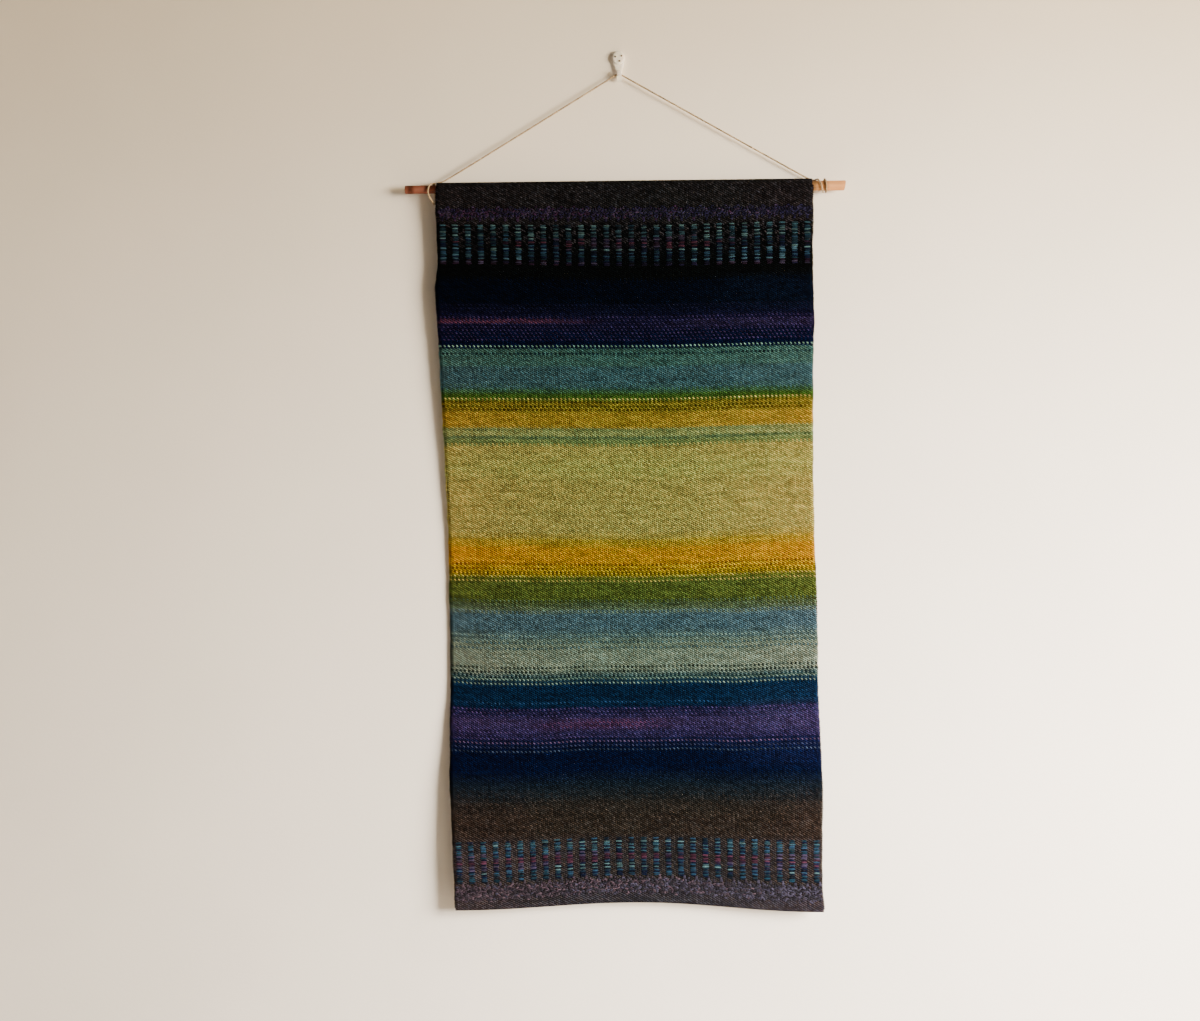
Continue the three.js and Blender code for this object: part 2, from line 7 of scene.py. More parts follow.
import logging
import math
import random
from bisect import bisect_left
from dataclasses import dataclass, field
from enum import Enum
from functools import cached_property
from typing import Callable, NamedTuple, Sequence

import bmesh
import bpy
import numpy as np
from mathutils import Matrix, Vector

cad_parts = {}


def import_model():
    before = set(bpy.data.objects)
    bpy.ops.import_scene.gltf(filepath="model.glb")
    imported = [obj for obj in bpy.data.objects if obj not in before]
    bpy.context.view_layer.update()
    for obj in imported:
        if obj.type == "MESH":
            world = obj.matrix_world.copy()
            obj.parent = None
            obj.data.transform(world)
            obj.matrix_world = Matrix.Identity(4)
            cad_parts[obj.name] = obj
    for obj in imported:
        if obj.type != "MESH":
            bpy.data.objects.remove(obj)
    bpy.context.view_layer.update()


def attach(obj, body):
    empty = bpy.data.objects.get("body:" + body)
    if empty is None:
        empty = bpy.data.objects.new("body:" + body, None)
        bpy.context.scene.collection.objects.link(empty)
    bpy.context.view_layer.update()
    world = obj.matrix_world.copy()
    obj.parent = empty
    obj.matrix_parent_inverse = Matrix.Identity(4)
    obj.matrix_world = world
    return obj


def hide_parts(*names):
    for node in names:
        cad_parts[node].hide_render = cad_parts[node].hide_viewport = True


LOG = logging.getLogger("wall_rug")
MM = 0.001
BODY = "root"
WARP_ENDS = 179
END = 2.54 * MM  # width of one warp end
PICK = 1.3 * MM  # height of one weft pick
WIDTH = END * WARP_ENDS  # width of the cloth
WEAVE_UV = "weave"  # UV map of the cloth: metres across and metres down from the crest of the sleeve
YARN = "yarn"  # colour attribute of the raised yarns


# Camera and light


@dataclass(frozen=True)
class PhotoCamera:
    """The camera of the photograph: level, square to the wall.

    Attributes:
        place: Its position in metres.
        view_width: Width in metres of what it sees at view_distance.
        view_distance: Distance in metres at which view_width is taken.
    """

    place: tuple[float, float, float] = (-0.0219, -2.010, -0.5419)
    view_width: float = 1.4592
    view_distance: float = 2.0

    def build(self) -> bpy.types.Object:
        """Make the camera and set it as the scene's camera.

        Returns:
            The camera object.
        """
        lens = bpy.data.cameras.new("photo_camera")
        lens.sensor_fit = "HORIZONTAL"
        lens.sensor_width = 36.0
        lens.lens = lens.sensor_width * self.view_distance / self.view_width
        camera = bpy.data.objects.new("photo_camera", lens)
        camera.location = self.place
        camera.rotation_euler = (math.pi / 2, 0, 0)
        bpy.context.scene.collection.objects.link(camera)
        bpy.context.scene.camera = camera
        return camera


@dataclass(frozen=True)
class SoftLamp:
    """One soft area light.

    Attributes:
        name: Its name.
        place: Its position in metres.
        target: The point that it faces.
        size: Width and height in metres.
        power: Power in watts.
        colour: Linear red, green and blue.
        spread: Angle of its beam in degrees.
    """

    name: str
    place: tuple[float, float, float]
    target: tuple[float, float, float]
    size: tuple[float, float]
    power: float
    colour: tuple[float, float, float] = (1.0, 1.0, 1.0)
    spread: float = 180.0

    def build(self) -> bpy.types.Object:
        """Make the light.

        Returns:
            The light object.
        """
        data = bpy.data.lights.new(self.name, "AREA")
        data.shape = "RECTANGLE"
        data.size, data.size_y = self.size
        data.energy = self.power
        data.color = self.colour
        data.spread = math.radians(self.spread)
        lamp = bpy.data.objects.new(self.name, data)
        lamp.location = self.place
        facing = Vector(self.target) - Vector(self.place)
        lamp.rotation_euler = facing.to_track_quat("-Z", "Y").to_euler()
        bpy.context.scene.collection.objects.link(lamp)
        return lamp


# Colours and node wiring


def linear(colour: str) -> tuple[float, float, float, float]:
    """Turn a colour written as six hexadecimal digits into linear light.

    Args:
        colour: The colour, such as "a8924a".

    Returns:
        Linear red, green, blue and an alpha of 1.
    """
    channels = [int(colour[i : i + 2], 16) / 255 for i in (0, 2, 4)]
    bright = [c / 12.92 if c <= 0.04045 else ((c + 0.055) / 1.055) ** 2.4 for c in channels]
    return (bright[0], bright[1], bright[2], 1.0)


Socket = bpy.types.NodeSocket
Feed = Socket | float | Sequence[float]


class Wiring:
    """Short calls that make and join the nodes of one material or node group."""

    def __init__(self, tree: bpy.types.NodeTree) -> None:
        """Start on a node tree.

        Args:
            tree: The tree that the nodes go into.
        """
        self.tree = tree

    def node(self, kind: str, **settings: object) -> bpy.types.Node:
        """Add one node.

        Args:
            kind: The node's type name without its ShaderNode prefix, or the full name.
            settings: Properties to set on it.

        Returns:
            The node.
        """
        full = kind if kind.startswith("Node") else "ShaderNode" + kind
        made = self.tree.nodes.new(full)
        for name, value in settings.items():
            setattr(made, name, value)
        return made

    def feed(self, socket: Socket, value: Feed) -> None:
        """Link a socket to another one, or set it to a number, vector or colour.

        Args:
            socket: The input.
            value: What goes into it.
        """
        if isinstance(value, Socket):
            self.tree.links.new(value, socket)
        else:
            socket.default_value = value

    def math(self, operation: str, *values: Feed) -> Socket:
        """Add a Math node.

        Args:
            operation: Its operation, such as "MULTIPLY".
            values: Its inputs in order.

        Returns:
            Its result.
        """
        made = self.node("Math", operation=operation)
        for socket, value in zip(made.inputs, values):
            self.feed(socket, value)
        return made.outputs[0]

    def span(self, value: Feed, low: float, high: float, to_low: float = 0.0, to_high: float = 1.0) -> Socket:
        """Map a range of values smoothly onto another, with clamped ends.

        Args:
            value: The value.
            low: Start of its range.
            high: End of its range.
            to_low: Result at the start.
            to_high: Result at the end.

        Returns:
            The mapped value.
        """
        made = self.node("MapRange", interpolation_type="SMOOTHSTEP", clamp=True)
        given = {"Value": value, "From Min": low, "From Max": high, "To Min": to_low, "To Max": to_high}
        for name, part in given.items():
            self.feed(made.inputs[name], part)
        return made.outputs["Result"]

    def vector(self, x: Feed, y: Feed, z: Feed = 0.0) -> Socket:
        """Join three values into a vector.

        Args:
            x: First part.
            y: Second part.
            z: Third part.

        Returns:
            The vector.
        """
        made = self.node("CombineXYZ")
        for socket, value in zip(made.inputs, (x, y, z)):
            self.feed(socket, value)
        return made.outputs[0]

    def noise(self, vector: Feed, scale: float, detail: float = 2.0, roughness: float = 0.5) -> Socket:
        """Add smooth noise from 0 to 1.

        Args:
            vector: Where it is looked up.
            scale: Its fineness.
            detail: Number of finer layers.
            roughness: Strength of the finer layers.

        Returns:
            The noise value.
        """
        made = self.node("TexNoise")
        self.feed(made.inputs["Vector"], vector)
        for name, value in (("Scale", scale), ("Detail", detail), ("Roughness", roughness)):
            self.feed(made.inputs[name], value)
        return made.outputs["Fac"]

    def speck(self, vector: Feed) -> Socket:
        """Add unrelated random values from 0 to 1 for every different vector.

        Args:
            vector: Where it is looked up.

        Returns:
            The random value.
        """
        made = self.node("TexWhiteNoise", noise_dimensions="3D")
        self.feed(made.inputs["Vector"], vector)
        return made.outputs["Value"]

    def ramp(self, factor: Feed, stops: Sequence[tuple[float, str]]) -> Socket:
        """Add a Color Ramp.

        Args:
            factor: Where it is looked up, from 0 to 1.
            stops: Places and colours in rising order, at most 32.

        Returns:
            The colour.
        """
        made = self.node("ValToRGB")
        elements = made.color_ramp.elements
        elements[0].position, elements[0].color = stops[0][0], linear(stops[0][1])
        elements[1].position, elements[1].color = stops[-1][0], linear(stops[-1][1])
        for place, colour in stops[1:-1]:
            elements.new(place).color = linear(colour)
        self.feed(made.inputs["Fac"], factor)
        return made.outputs["Color"]

    def mix(self, factor: Feed, first: Feed, second: Feed, blend: str = "MIX") -> Socket:
        """Mix two colours.

        Args:
            factor: Share of the second one.
            first: First colour.
            second: Second colour.
            blend: Blend type.

        Returns:
            The mixed colour.
        """
        made = self.node("Mix", data_type="RGBA", blend_type=blend)
        first_colour, second_colour, mixed_colour = 6, 7, 2  # numbers of the node's colour sockets
        self.feed(made.inputs["Factor"], factor)
        self.feed(made.inputs[first_colour], first)
        self.feed(made.inputs[second_colour], second)
        return made.outputs[mixed_colour]

    def bright(self, colour: Feed, factor: Feed) -> Socket:
        """Make a colour lighter or darker by a factor.

        Args:
            colour: The colour.
            factor: What its light is multiplied by.

        Returns:
            The new colour.
        """
        made = self.node("VectorMath", operation="SCALE")
        self.feed(made.inputs[0], colour)
        self.feed(made.inputs["Scale"], factor)
        return made.outputs[0]

    def group(self, tree: bpy.types.NodeTree, **inputs: Feed) -> bpy.types.Node:
        """Place a node group.

        Args:
            tree: The group.
            inputs: Its inputs by name, with _ for a space.

        Returns:
            The group node.
        """
        made = self.node("Group", node_tree=tree)
        for name, value in inputs.items():
            self.feed(made.inputs[name.replace("_", " ")], value)
        return made


class GroupMaker:
    """Makes one shader node group with named inputs and outputs."""

    def __init__(self, name: str, inputs: Sequence[tuple[str, str]], outputs: Sequence[tuple[str, str]]) -> None:
        """Make the group's tree and sockets.

        Args:
            name: Name of the group.
            inputs: Names and kinds (Float, Vector or Color) of its inputs.
            outputs: Names and kinds of its outputs.
        """
        self.tree = bpy.data.node_groups.new(name, "ShaderNodeTree")
        for in_out, sockets in (("INPUT", inputs), ("OUTPUT", outputs)):
            for socket, kind in sockets:
                self.tree.interface.new_socket(socket, in_out=in_out, socket_type="NodeSocket" + kind)
        self.wire = Wiring(self.tree)
        self.given = self.wire.node("NodeGroupInput").outputs
        self.result = self.wire.node("NodeGroupOutput").inputs


class Effects:
    """The node groups that more than one material uses, each built once."""

    def __init__(self) -> None:
        """Build all the groups."""
        self.beads = self._beads()
        self.rows = self._rows()
        self.patch = self._patch()
        self.fibre = self._fibre()

    def _beads(self) -> bpy.types.NodeTree:
        """Weft beads: every weft pick shows on every second warp end.

        Returns:
            The group.
        """
        outputs = [(name, "Float") for name in ("Pick", "Bead", "Speck")]
        made = GroupMaker("weft_beads", [("Across", "Float"), ("Down", "Float")], outputs)
        wire, given, result = made.wire, made.given, made.result
        end = wire.math("FLOOR", given["Across"])
        odd = wire.math("FLOORED_MODULO", end, 2.0)
        side = wire.math("SUBTRACT", given["Across"], end)
        slant = wire.math("SUBTRACT", given["Down"], wire.math("SUBTRACT", side, 0.5))
        row = wire.math("MULTIPLY_ADD", wire.math("SUBTRACT", slant, odd), 0.5, 0.5)
        whole = wire.math("FLOOR", row)
        height = wire.math("SUBTRACT", row, whole)
        wide = wire.math("POWER", wire.math("SINE", wire.math("MULTIPLY", side, math.pi)), 0.25)
        tall = wire.math("POWER", wire.math("SINE", wire.math("MULTIPLY", height, math.pi)), 1.3)
        pick = wire.math("MULTIPLY_ADD", whole, 2.0, odd)
        wire.feed(result["Pick"], pick)
        wire.feed(result["Bead"], wire.math("MULTIPLY", wide, tall))
        wire.feed(result["Speck"], wire.speck(wire.vector(end, pick)))
        return made.tree

    def _rows(self) -> bpy.types.NodeTree:
        """Single picks of another yarn: 1 on every so many picks between a first and a last one.

        Returns:
            The group.
        """
        inputs = [(name, "Float") for name in ("Pick", "First", "Last", "Every")]
        made = GroupMaker("accent_picks", inputs, [("Mask", "Float")])
        wire, given, result = made.wire, made.given, made.result
        after = wire.math("GREATER_THAN", wire.math("SUBTRACT", given["Pick"], given["First"]), -0.5)
        before = wire.math("GREATER_THAN", wire.math("SUBTRACT", given["Last"], given["Pick"]), -0.5)
        phase = wire.math("FLOORED_MODULO", wire.math("SUBTRACT", given["Pick"], given["First"]), given["Every"])
        hit = wire.math("LESS_THAN", phase, 0.5)
        wire.feed(result["Mask"], wire.math("MULTIPLY", wire.math("MULTIPLY", after, before), hit))
        return made.tree

    def _patch(self) -> bpy.types.NodeTree:
        """A soft-edged patch in which the colour changes its shade along the row: other dye, and in some patches
        partly painted sheen.

        Returns:
            The group.
        """
        inputs = [(name, "Float") for name in ("Share", "Down", "Centre", "Reach", "Level", "Height")]
        made = GroupMaker("shade_patch", inputs, [("Mask", "Float")])
        wire, given, result = made.wire, made.given, made.result
        aside = wire.math("ABSOLUTE", wire.math("SUBTRACT", given["Share"], given["Centre"]))
        above = wire.math("ABSOLUTE", wire.math("SUBTRACT", given["Down"], given["Level"]))
        inside = wire.span(wire.math("DIVIDE", aside, given["Reach"]), 1.0, 0.3)
        level = wire.span(wire.math("DIVIDE", above, given["Height"]), 1.0, 0.4)
        wire.feed(result["Mask"], wire.math("MULTIPLY", inside, level))
        return made.tree

    def _fibre(self) -> bpy.types.NodeTree:
        """Fine hairs and flecks of wool or twine, on object coordinates.

        Returns:
            The group.
        """
        made = GroupMaker(
            "wool_fibre",
            [("Vector", "Vector"), ("Colour", "Color"), ("Contrast", "Float")],
            [("Colour", "Color"), ("Height", "Float")],
        )
        wire, given, result = made.wire, made.given, made.result
        stretch = wire.node("VectorMath", operation="MULTIPLY")
        wire.feed(stretch.inputs[0], given["Vector"])
        wire.feed(stretch.inputs[1], (1.0, 2.2, 2.2))
        hairs = wire.noise(stretch.outputs[0], 900.0, 3.0, 0.65)
        flecks = wire.noise(given["Vector"], 260.0, 2.0, 0.6)
        both = wire.math("ADD", wire.math("MULTIPLY", hairs, 0.6), wire.math("MULTIPLY", flecks, 0.4))
        swing = wire.math("MULTIPLY_ADD", wire.math("SUBTRACT", both, 0.5), given["Contrast"], 1.0)
        wire.feed(result["Colour"], wire.bright(given["Colour"], swing))
        wire.feed(result["Height"], both)
        return made.tree


def new_material(name: str) -> tuple[bpy.types.Material, Wiring, bpy.types.Node]:
    """Make a material with its Principled BSDF.

    Args:
        name: Name of the material.

    Returns:
        The material, the wiring of its tree and its shader node.
    """
    made = bpy.data.materials.new(name)
    made.use_nodes = True
    shader = next(n for n in made.node_tree.nodes if n.type == "BSDF_PRINCIPLED")
    return made, Wiring(made.node_tree), shader


def set_shader(shader: bpy.types.Node, **values: float | Sequence[float]) -> None:
    """Set plain values on a shader's own sockets.

    Args:
        shader: The shader node.
        values: Values by socket name, with _ for a space.
    """
    for name, value in values.items():
        shader.inputs[name.replace("_", " ")].default_value = value


def bump(wire: Wiring, shader: bpy.types.Node, height: Feed, distance: float, strength: float = 1.0) -> None:
    """Give a shader fine relief.

    Args:
        wire: Wiring of the material.
        shader: The shader node.
        height: Height from 0 to 1.
        distance: What a height of 1 stands for, in metres.
        strength: Strength of the relief.
    """
    made = wire.node("Bump")
    wire.feed(made.inputs["Strength"], strength)
    wire.feed(made.inputs["Distance"], distance)
    wire.feed(made.inputs["Height"], height)
    wire.feed(shader.inputs["Normal"], made.outputs["Normal"])


# Finishes


class Wool(Enum):
    """The dyed yarns of the plain weave."""

    COAL = "161618"
    SOOT = "030506"
    INK = "010512"
    DUSK = "0a0a24"
    NAVY = "020820"
    SEA = "2e4e4a"
    SLATE_TEAL = "2c494f"
    FERN = "2b4b38"
    LEAF = "2c4818"
    OLIVE_GOLD = "66601e"
    MUSTARD = "7a6a20"
    SAGE_STRAW = "6a7846"
    OLIVE_GREEN = "5c7040"
    STRAW = "7e7c3e"
    PALE_STRAW = "7e8442"
    GOLD = "7e701e"
    AMBER = "906c06"
    BRONZE = "88740e"
    OLIVE = "4c5212"
    MOSS = "3a491c"
    PINE = "2e3c18"
    STORM = "46584a"
    SLATE = "324a52"
    MIST = "3a5050"
    SAGE = "4a5c50"
    PALE_SAGE = "58685a"
    DEEP_SEA = "1c343a"
    PRUSSIAN = "04182e"
    INDIGO = "0a0f2a"
    VIOLET = "201b3a"
    AUBERGINE = "261f3c"
    BLUE_GREY = "0d1720"
    SMOKE = "151a1d"
    UMBER = "1e1c19"
    BROWN = "221d18"
    ASH = "252324"
    HEM = "2f2d33"


class Stop(NamedTuple):
    """One place of the graded stripes: millimetres down from the crest of the sleeve, and the yarn there."""

    down: float
    yarn: Wool


class AccentRows(NamedTuple):
    """Single picks of another yarn.

    line is the group's first pick in millimetres down the cloth, skip the picks from there to the first row,
    rows the number of rows, every the picks from one to the next and shade the yarn's.
    """

    line: float
    skip: int
    rows: int
    every: int
    shade: str

    @property
    def first(self) -> int:
        """Number of its first pick."""
        return round(self.line * MM / PICK) + self.skip

    @property
    def last(self) -> int:
        """Number of its last pick."""
        return self.first + (self.rows - 1) * self.every


class DyeAndSheenPatch(NamedTuple):
    """A soft patch where the row's colour turns to another shade: other dye, and in the two patches at the right
    edge partly painted sheen.

    centre and reach are shares of the width, level and height millimetres down the cloth, and strength its most.
    """

    centre: float
    reach: float
    level: float
    height: float
    shade: str
    strength: float


STRIPES: tuple[Stop, ...] = (
    Stop(-60, Wool.COAL), Stop(52, Wool.COAL), Stop(58, Wool.SOOT), Stop(118, Wool.SOOT), Stop(126, Wool.INK),
    Stop(150, Wool.INK), Stop(168, Wool.DUSK), Stop(180, Wool.DUSK), Stop(190, Wool.NAVY), Stop(205.5, Wool.NAVY),
    Stop(206.5, Wool.SEA), Stop(224, Wool.SEA), Stop(232, Wool.SLATE_TEAL), Stop(249, Wool.SLATE_TEAL),
    Stop(256, Wool.FERN), Stop(262, Wool.LEAF), Stop(268, Wool.LEAF), Stop(269.5, Wool.OLIVE_GOLD),
    Stop(280, Wool.OLIVE_GOLD), Stop(284, Wool.MUSTARD), Stop(298, Wool.MUSTARD), Stop(304, Wool.SAGE_STRAW),
    Stop(311, Wool.SAGE_STRAW), Stop(316, Wool.OLIVE_GREEN), Stop(321, Wool.OLIVE_GREEN), Stop(325, Wool.STRAW),
    Stop(350, Wool.PALE_STRAW), Stop(372, Wool.STRAW), Stop(400, Wool.STRAW), Stop(428, Wool.STRAW),
    Stop(439, Wool.GOLD), Stop(449, Wool.AMBER), Stop(463, Wool.AMBER), Stop(472, Wool.BRONZE),
    Stop(477.8, Wool.BRONZE), Stop(478.8, Wool.OLIVE), Stop(486, Wool.MOSS), Stop(504, Wool.MOSS),
    Stop(513, Wool.PINE), Stop(521, Wool.STORM), Stop(526, Wool.SLATE), Stop(544, Wool.SLATE), Stop(553, Wool.MIST),
    Stop(560, Wool.SAGE), Stop(574, Wool.PALE_SAGE), Stop(586, Wool.PALE_SAGE), Stop(594, Wool.PALE_SAGE),
    Stop(601.2, Wool.MIST), Stop(602.2, Wool.DEEP_SEA), Stop(611, Wool.PRUSSIAN), Stop(636, Wool.PRUSSIAN),
    Stop(643, Wool.INDIGO), Stop(655, Wool.AUBERGINE), Stop(668, Wool.VIOLET), Stop(680, Wool.INDIGO),
    Stop(690, Wool.NAVY), Stop(716, Wool.NAVY), Stop(736, Wool.BLUE_GREY), Stop(750, Wool.SMOKE),
    Stop(760, Wool.UMBER), Stop(776, Wool.BROWN), Stop(796, Wool.BROWN), Stop(808, Wool.ASH), Stop(856, Wool.ASH),
    Stop(866, Wool.HEM), Stop(940, Wool.HEM),
)

ACCENTS: tuple[AccentRows, ...] = (
    AccentRows(154.0, 0, 4, 3, "0d0f22"), AccentRows(167.7, 0, 8, 3, "241e3c"),
    AccentRows(202.4, 0, 1, 1, "5c8478"), AccentRows(202.4, 3, 2, 2, "2e4e48"),
    AccentRows(202.4, 7, 1, 1, "04121c"), AccentRows(265.9, 0, 1, 1, "8e8c48"),
    AccentRows(265.9, 3, 2, 4, "2a2c04"), AccentRows(265.9, 10, 1, 1, "342a04"),
    AccentRows(302.6, 0, 2, 1, "54683e"), AccentRows(312.4, 0, 3, 1, "40583a"),
    AccentRows(318.4, 0, 2, 1, "4a6036"), AccentRows(467.1, 0, 2, 4, "4c3204"),
    AccentRows(467.1, 7, 2, 2, "443c04"), AccentRows(467.1, 10, 1, 1, "78701a"),
    AccentRows(467.1, 11, 2, 4, "7e7a3a"), AccentRows(510.0, 0, 3, 4, "364a34"),
    AccentRows(551.0, 0, 2, 4, "4e665e"), AccentRows(551.0, 7, 1, 1, "30484c"),
    AccentRows(566.5, 0, 1, 1, "30484c"), AccentRows(590.6, 0, 2, 4, "081414"),
    AccentRows(590.6, 7, 2, 2, "0c2024"), AccentRows(590.6, 10, 1, 1, "364c44"),
    AccentRows(590.6, 11, 2, 4, "546c62"), AccentRows(632.5, 0, 1, 1, "142c48"),
    AccentRows(641.0, 0, 10, 3, "2e2648"), AccentRows(681.0, 0, 1, 1, "40344e"),
    AccentRows(681.0, 4, 1, 1, "242a42"), AccentRows(681.0, 8, 1, 1, "263244"),
)

WOOL_SHEEN = {"Sheen_Roughness": 0.4, "Sheen_Tint": (0.35, 0.36, 0.4, 1.0)}

DYE_AND_SHEEN_PATCHES: tuple[DyeAndSheenPatch, ...] = (
    DyeAndSheenPatch(0.12, 0.34, 172.5, 3.2, "4c2a3c", 0.8), DyeAndSheenPatch(0.86, 0.32, 176.0, 7.0, "1e1a34", 0.8),
    DyeAndSheenPatch(0.42, 0.24, 660.0, 8.0, "44243c", 0.6), DyeAndSheenPatch(0.98, 0.28, 626.0, 14.0, "0c2036", 0.6),
    # The two patches at the right edge, 655 and 694 millimetres down, are partly other dye and partly painted sheen:
    # the violet and navy yarns are lightened where the light grazes the right side.
    DyeAndSheenPatch(1.00, 0.34, 655.0, 24.0, "2a2a48", 0.6), DyeAndSheenPatch(1.00, 0.34, 694.0, 24.0, "0b1230", 0.7),
    DyeAndSheenPatch(0.08, 0.28, 850.0, 60.0, "343133", 0.8), DyeAndSheenPatch(0.95, 0.30, 140.0, 30.0, "061020", 0.5),
)


class Weave(NamedTuple):
    """What the steps of the cloth's finish work with.

    wire is the material's wiring, effects the shared node groups, share the share of the width, down metres
    down the cloth, pick the number of the pick and speck a random value of the bead.
    """

    wire: Wiring
    effects: Effects
    share: Socket
    down: Socket
    pick: Socket
    speck: Socket

    def along(self, across: float, by_pick: float, roughness: float = 0.5, detail: float = 2.0) -> Socket:
        """Give noise that changes slowly along a pick and more from pick to pick.

        Args:
            across: Its fineness over the width.
            by_pick: Its change from one pick to the next.
            roughness: Strength of its finer layers.
            detail: Number of its finer layers.

        Returns:
            The noise value.
        """
        wire = self.wire
        place = wire.vector(wire.math("MULTIPLY", self.share, across), wire.math("MULTIPLY", self.pick, by_pick))
        return wire.noise(place, 1.0, detail, roughness)

    def zone(self, down: Feed, level: float, height: float) -> Socket:
        """Mask a zone over the whole width.

        Args:
            down: Millimetres down the cloth.
            level: Middle of the zone in millimetres.
            height: Its reach in millimetres.

        Returns:
            The mask.
        """
        whole = {"Share": 0.5, "Centre": 0.5, "Reach": 9.0}
        return self.wire.group(self.effects.patch, Down=down, Level=level, Height=height, **whole).outputs[0]


@dataclass(frozen=True)
class WoolCloth:
    """The weft-faced wool cloth: graded stripes, accent picks and the beads of the weave.

    Attributes:
        stripes: The graded stripes.
        accents: The single picks of other yarns.
        dye_and_sheen_patches: The soft patches of other shades.
        flecked: Zones with beads of a second yarn: middle and reach in millimetres, and its shade.
        sharp: Millimetres down at which one yarn ends at once.
        stops_per_ramp: Most stops in one ramp.
        mingle: Millimetres by which the picks stray into the next yarn.
        lag: Metres by which the picks run lower near the selvedges.
        wander: Warp ends and picks by which the rows of beads wander.
        depth: Light that the deep, rough surface of the yarn gives back.
        edges: Light of the yarn at the selvedges.
        hues: Tints of the fibres from bead to bead.
        relief: Depth of the weave's relief in metres.
    """

    stripes: tuple[Stop, ...] = STRIPES
    accents: tuple[AccentRows, ...] = ACCENTS
    dye_and_sheen_patches: tuple[DyeAndSheenPatch, ...] = DYE_AND_SHEEN_PATCHES
    flecked: tuple[tuple[float, float, str], ...] = ((40.0, 60.0, "28282c"), (820.0, 90.0, "2f2a26"))
    sharp: tuple[float, ...] = (206.0, 268.5, 478.3, 601.7)
    stops_per_ramp: int = 24
    mingle: float = 6.0
    lag: float = 0.0047
    wander: tuple[float, float] = (0.35, 0.9)
    depth: float = 0.53
    edges: tuple[float, float, float, float] = (1.36, 1.14, 1.14, 1.0)
    hues: tuple[str, str] = ("f0dcd0", "ccecff")
    relief: float = 0.0006

    def build(self, effects: Effects) -> bpy.types.Material:
        """Make the material.

        Args:
            effects: The shared node groups.

        Returns:
            The material.
        """
        made, wire, shader = new_material("wool_cloth")
        place = wire.node("SeparateXYZ")
        wire.feed(place.inputs[0], wire.node("UVMap", uv_map=WEAVE_UV).outputs[0])
        across, down = place.outputs[0], place.outputs[1]
        soft = wire.node("TexCoord").outputs["Object"]
        stray = wire.math("SUBTRACT", wire.noise(soft, 55.0, 2.0), 0.5)
        share = wire.math("DIVIDE", across, WIDTH)
        level = wire.math("SUBTRACT", down, self._lag(wire, share, down))
        beads = wire.group(
            effects.beads,
            Across=wire.math("MULTIPLY_ADD", stray, self.wander[0], wire.math("DIVIDE", across, END)),
            Down=wire.math("MULTIPLY_ADD", stray, self.wander[1], wire.math("DIVIDE", level, PICK)),
        )
        bead = beads.outputs["Bead"]
        weave = Weave(wire, effects, share, down, beads.outputs["Pick"], beads.outputs["Speck"])
        colour = self._stripes(weave)
        for step in (self._patches, self._picks, self._flecks, self._unevenness):
            colour = step(weave, colour)
        # Painted shade and highlight: by the bead's height, the colour is darkened down to a tenth in the gaps
        # between the beads and lightened up to 1.62 times on their crests.
        colour = wire.bright(colour, wire.span(bead, 0.05, 0.85, 0.1, 1.62))
        fibre = wire.group(effects.fibre, Vector=soft, Colour=colour, Contrast=1.9)
        wire.feed(shader.inputs["Base Color"], fibre.outputs["Colour"])
        bump(wire, shader, wire.math("MULTIPLY_ADD", fibre.outputs["Height"], 0.35, bead), self.relief)
        set_shader(shader, Roughness=0.95, Specular_IOR_Level=0.02, Sheen_Weight=0.012, **WOOL_SHEEN)
        return made

    def _lag(self, wire: Wiring, share: Socket, down: Socket) -> Socket:
        """Give the distance by which the picks run lower near the selvedges of the lower half.

        Args:
            wire: Wiring of the material.
            share: Share of the width.
            down: Metres down the cloth.

        Returns:
            The distance in metres.
        """
        right = wire.span(share, 0.62, 0.8)
        left = wire.span(wire.math("ABSOLUTE", wire.math("SUBTRACT", share, 0.17)), 0.22, 0.05, 0.0, 0.7)
        level = wire.math("MULTIPLY", wire.span(down, 0.44, 0.56), wire.span(down, 0.8, 0.72))
        return wire.math("MULTIPLY", wire.math("MULTIPLY", wire.math("ADD", right, left), level), self.lag)

    def _stripes(self, weave: Weave) -> Socket:
        """Look up the graded stripes by pick, in several ramps one below the other.

        Args:
            weave: What the finish works with.

        Returns:
            The stripe's colour.
        """
        wire = weave.wire
        jump = wire.speck(wire.vector(weave.pick, 7.0))
        stray = wire.math("SUBTRACT", wire.math("ADD", weave.along(6.0, 0.731, detail=1.0), jump), 1.0)
        row = wire.math("MULTIPLY", weave.pick, PICK / MM)
        for edge in self.sharp:
            stray = wire.math("MULTIPLY", stray, wire.math("SUBTRACT", 1.0, weave.zone(row, edge, 12.0)))
        level = wire.math("MULTIPLY_ADD", stray, self.mingle, row)
        colour: Socket | None = None
        step = self.stops_per_ramp - 1
        for start in range(0, len(self.stripes) - 1, step):
            part = self.stripes[start : start + step + 1]
            low, high = part[0].down, part[-1].down
            stops = [((s.down - low) / (high - low), s.yarn.value) for s in part]
            found = wire.ramp(wire.math("DIVIDE", wire.math("SUBTRACT", level, low), high - low), stops)
            colour = found if colour is None else wire.mix(wire.math("GREATER_THAN", level, low), colour, found)
        return colour

